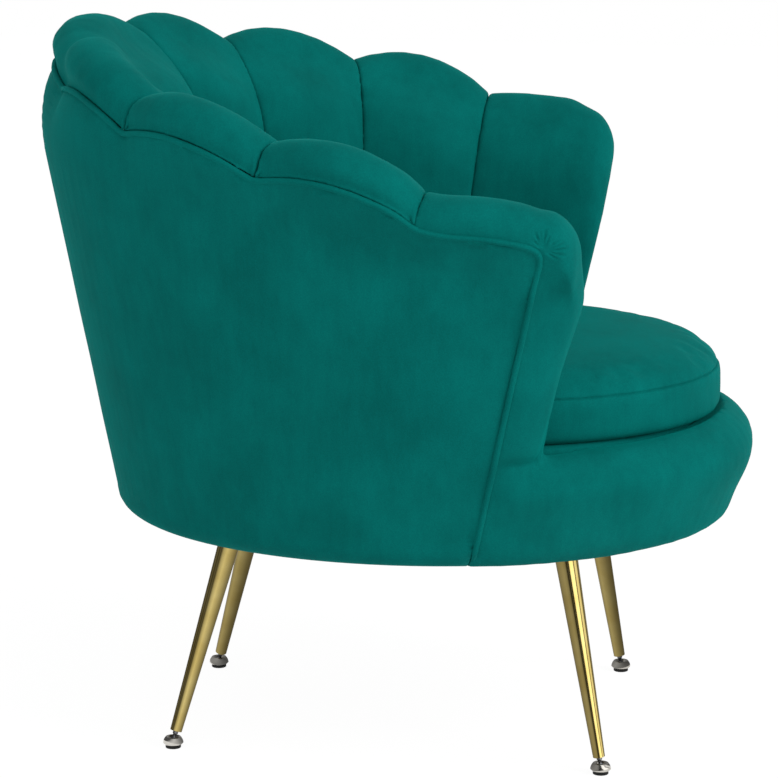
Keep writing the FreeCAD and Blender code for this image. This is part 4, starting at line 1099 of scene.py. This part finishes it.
SLEEVES = {"front_right": SLITS, "back_right": ONE_SIDE, "front_left": PLAIN_CARD,
           "back_left": PLAIN_CARD}


def sleeve_finish(place, tone_list):
    """Glowing card whose brightness changes round the sleeve and not along it; the leg reflects its tones as
    streaks of light and shade.
    """
    card, output = finish_named("reflection_card_" + place)
    coordinates = add(card, "TexCoord")
    round_about = add(card, "TexGradient", links={"Vector": (coordinates, "Object")},
                      gradient_type="RADIAL")
    tones = add(card, "ValToRGB", links={"Fac": (round_about, "Fac")})
    stops = tones.color_ramp.elements
    while len(stops) < len(tone_list):
        stops.new(0.5)
    for stop, (position, tone) in zip(stops, tone_list):
        stop.position, stop.color = position, (tone, tone, tone, 1)
    # The card glows: its tones are light that only the legs' reflections show.
    glow = add(card, "Emission", links={"Color": (tones, "Color")})
    return close(card, output, glow)


def reflection_sleeve(place, tone_list):
    """A tube of card round a leg, seen by polished metal alone."""
    ball, up = leg_axis(place)
    tube = turned("sleeve_" + place, SLEEVE_PROFILE, (0, 0, 0), (0, 0, 1), 64)
    turn = Matrix.Rotation(math.radians(SLEEVE_TURN), 4, "Z")
    tube.matrix_world = Matrix.Translation(ball) @ leaned(up) @ turn
    tube.data.materials.append(sleeve_finish(place, tone_list))
    tube.visible_camera = tube.visible_diffuse = tube.visible_shadow = tube.visible_transmission = False


for place, tone_list in SLEEVES.items():
    reflection_sleeve(place, tone_list)

world = bpy.data.worlds.new("studio")
scene.world = world
world.use_nodes = True
world.node_tree.nodes.clear()
direct = seen_directly(world)
soft = add(world, "Background", {"Color": linear("#FFFFFF"), "Strength": 0.45})
white = add(world, "Background", {"Color": linear("#FFFFFF"), "Strength": 1.0})
mixed = add(world, "MixShader",
            links={0: (direct, "Value"), 1: (soft, "Background"), 2: (white, "Background")})
add(world, "OutputWorld", links={"Surface": (mixed, "Shader")})
LAMP_TARGET = (0, 0, 0.4)


def soft_lamp(name, place, size, power):
    """A square soft lamp that looks at the middle of the chair."""
    light = bpy.data.lights.new(name, "AREA")
    light.size, light.energy = size, power
    lamp = bpy.data.objects.new(name, light)
    scene.collection.objects.link(lamp)
    lamp.location = place
    lamp.rotation_euler = (Vector(LAMP_TARGET) - Vector(place)).to_track_quat("-Z", "Y").to_euler()
    lamp.visible_glossy = False


soft_lamp("front_lamp", (-1.5, -3.2, 2.3), 2.2, 80)
soft_lamp("top_lamp", (-0.3, -0.9, 3.2), 2.4, 5)
soft_lamp("side_lamp", (-3.4, 1.5, 1.2), 2.0, 24)

# %% Camera
CAMERA_PLACE, CAMERA_TARGET = (-3.872, -0.443, 1.206), (0, 0.0091, 0.3601)
SENSOR_WIDTH, LENS = 36, 172.6

camera_data = bpy.data.cameras.new("camera")
camera = bpy.data.objects.new("camera", camera_data)
scene.collection.objects.link(camera)
camera_data.sensor_width, camera_data.lens = SENSOR_WIDTH, LENS
camera.location = CAMERA_PLACE
sight = Vector(CAMERA_TARGET) - camera.location
camera.rotation_euler = sight.to_track_quat("-Z", "Y").to_euler()
scene.camera = camera
scene.view_settings.view_transform = "Standard"
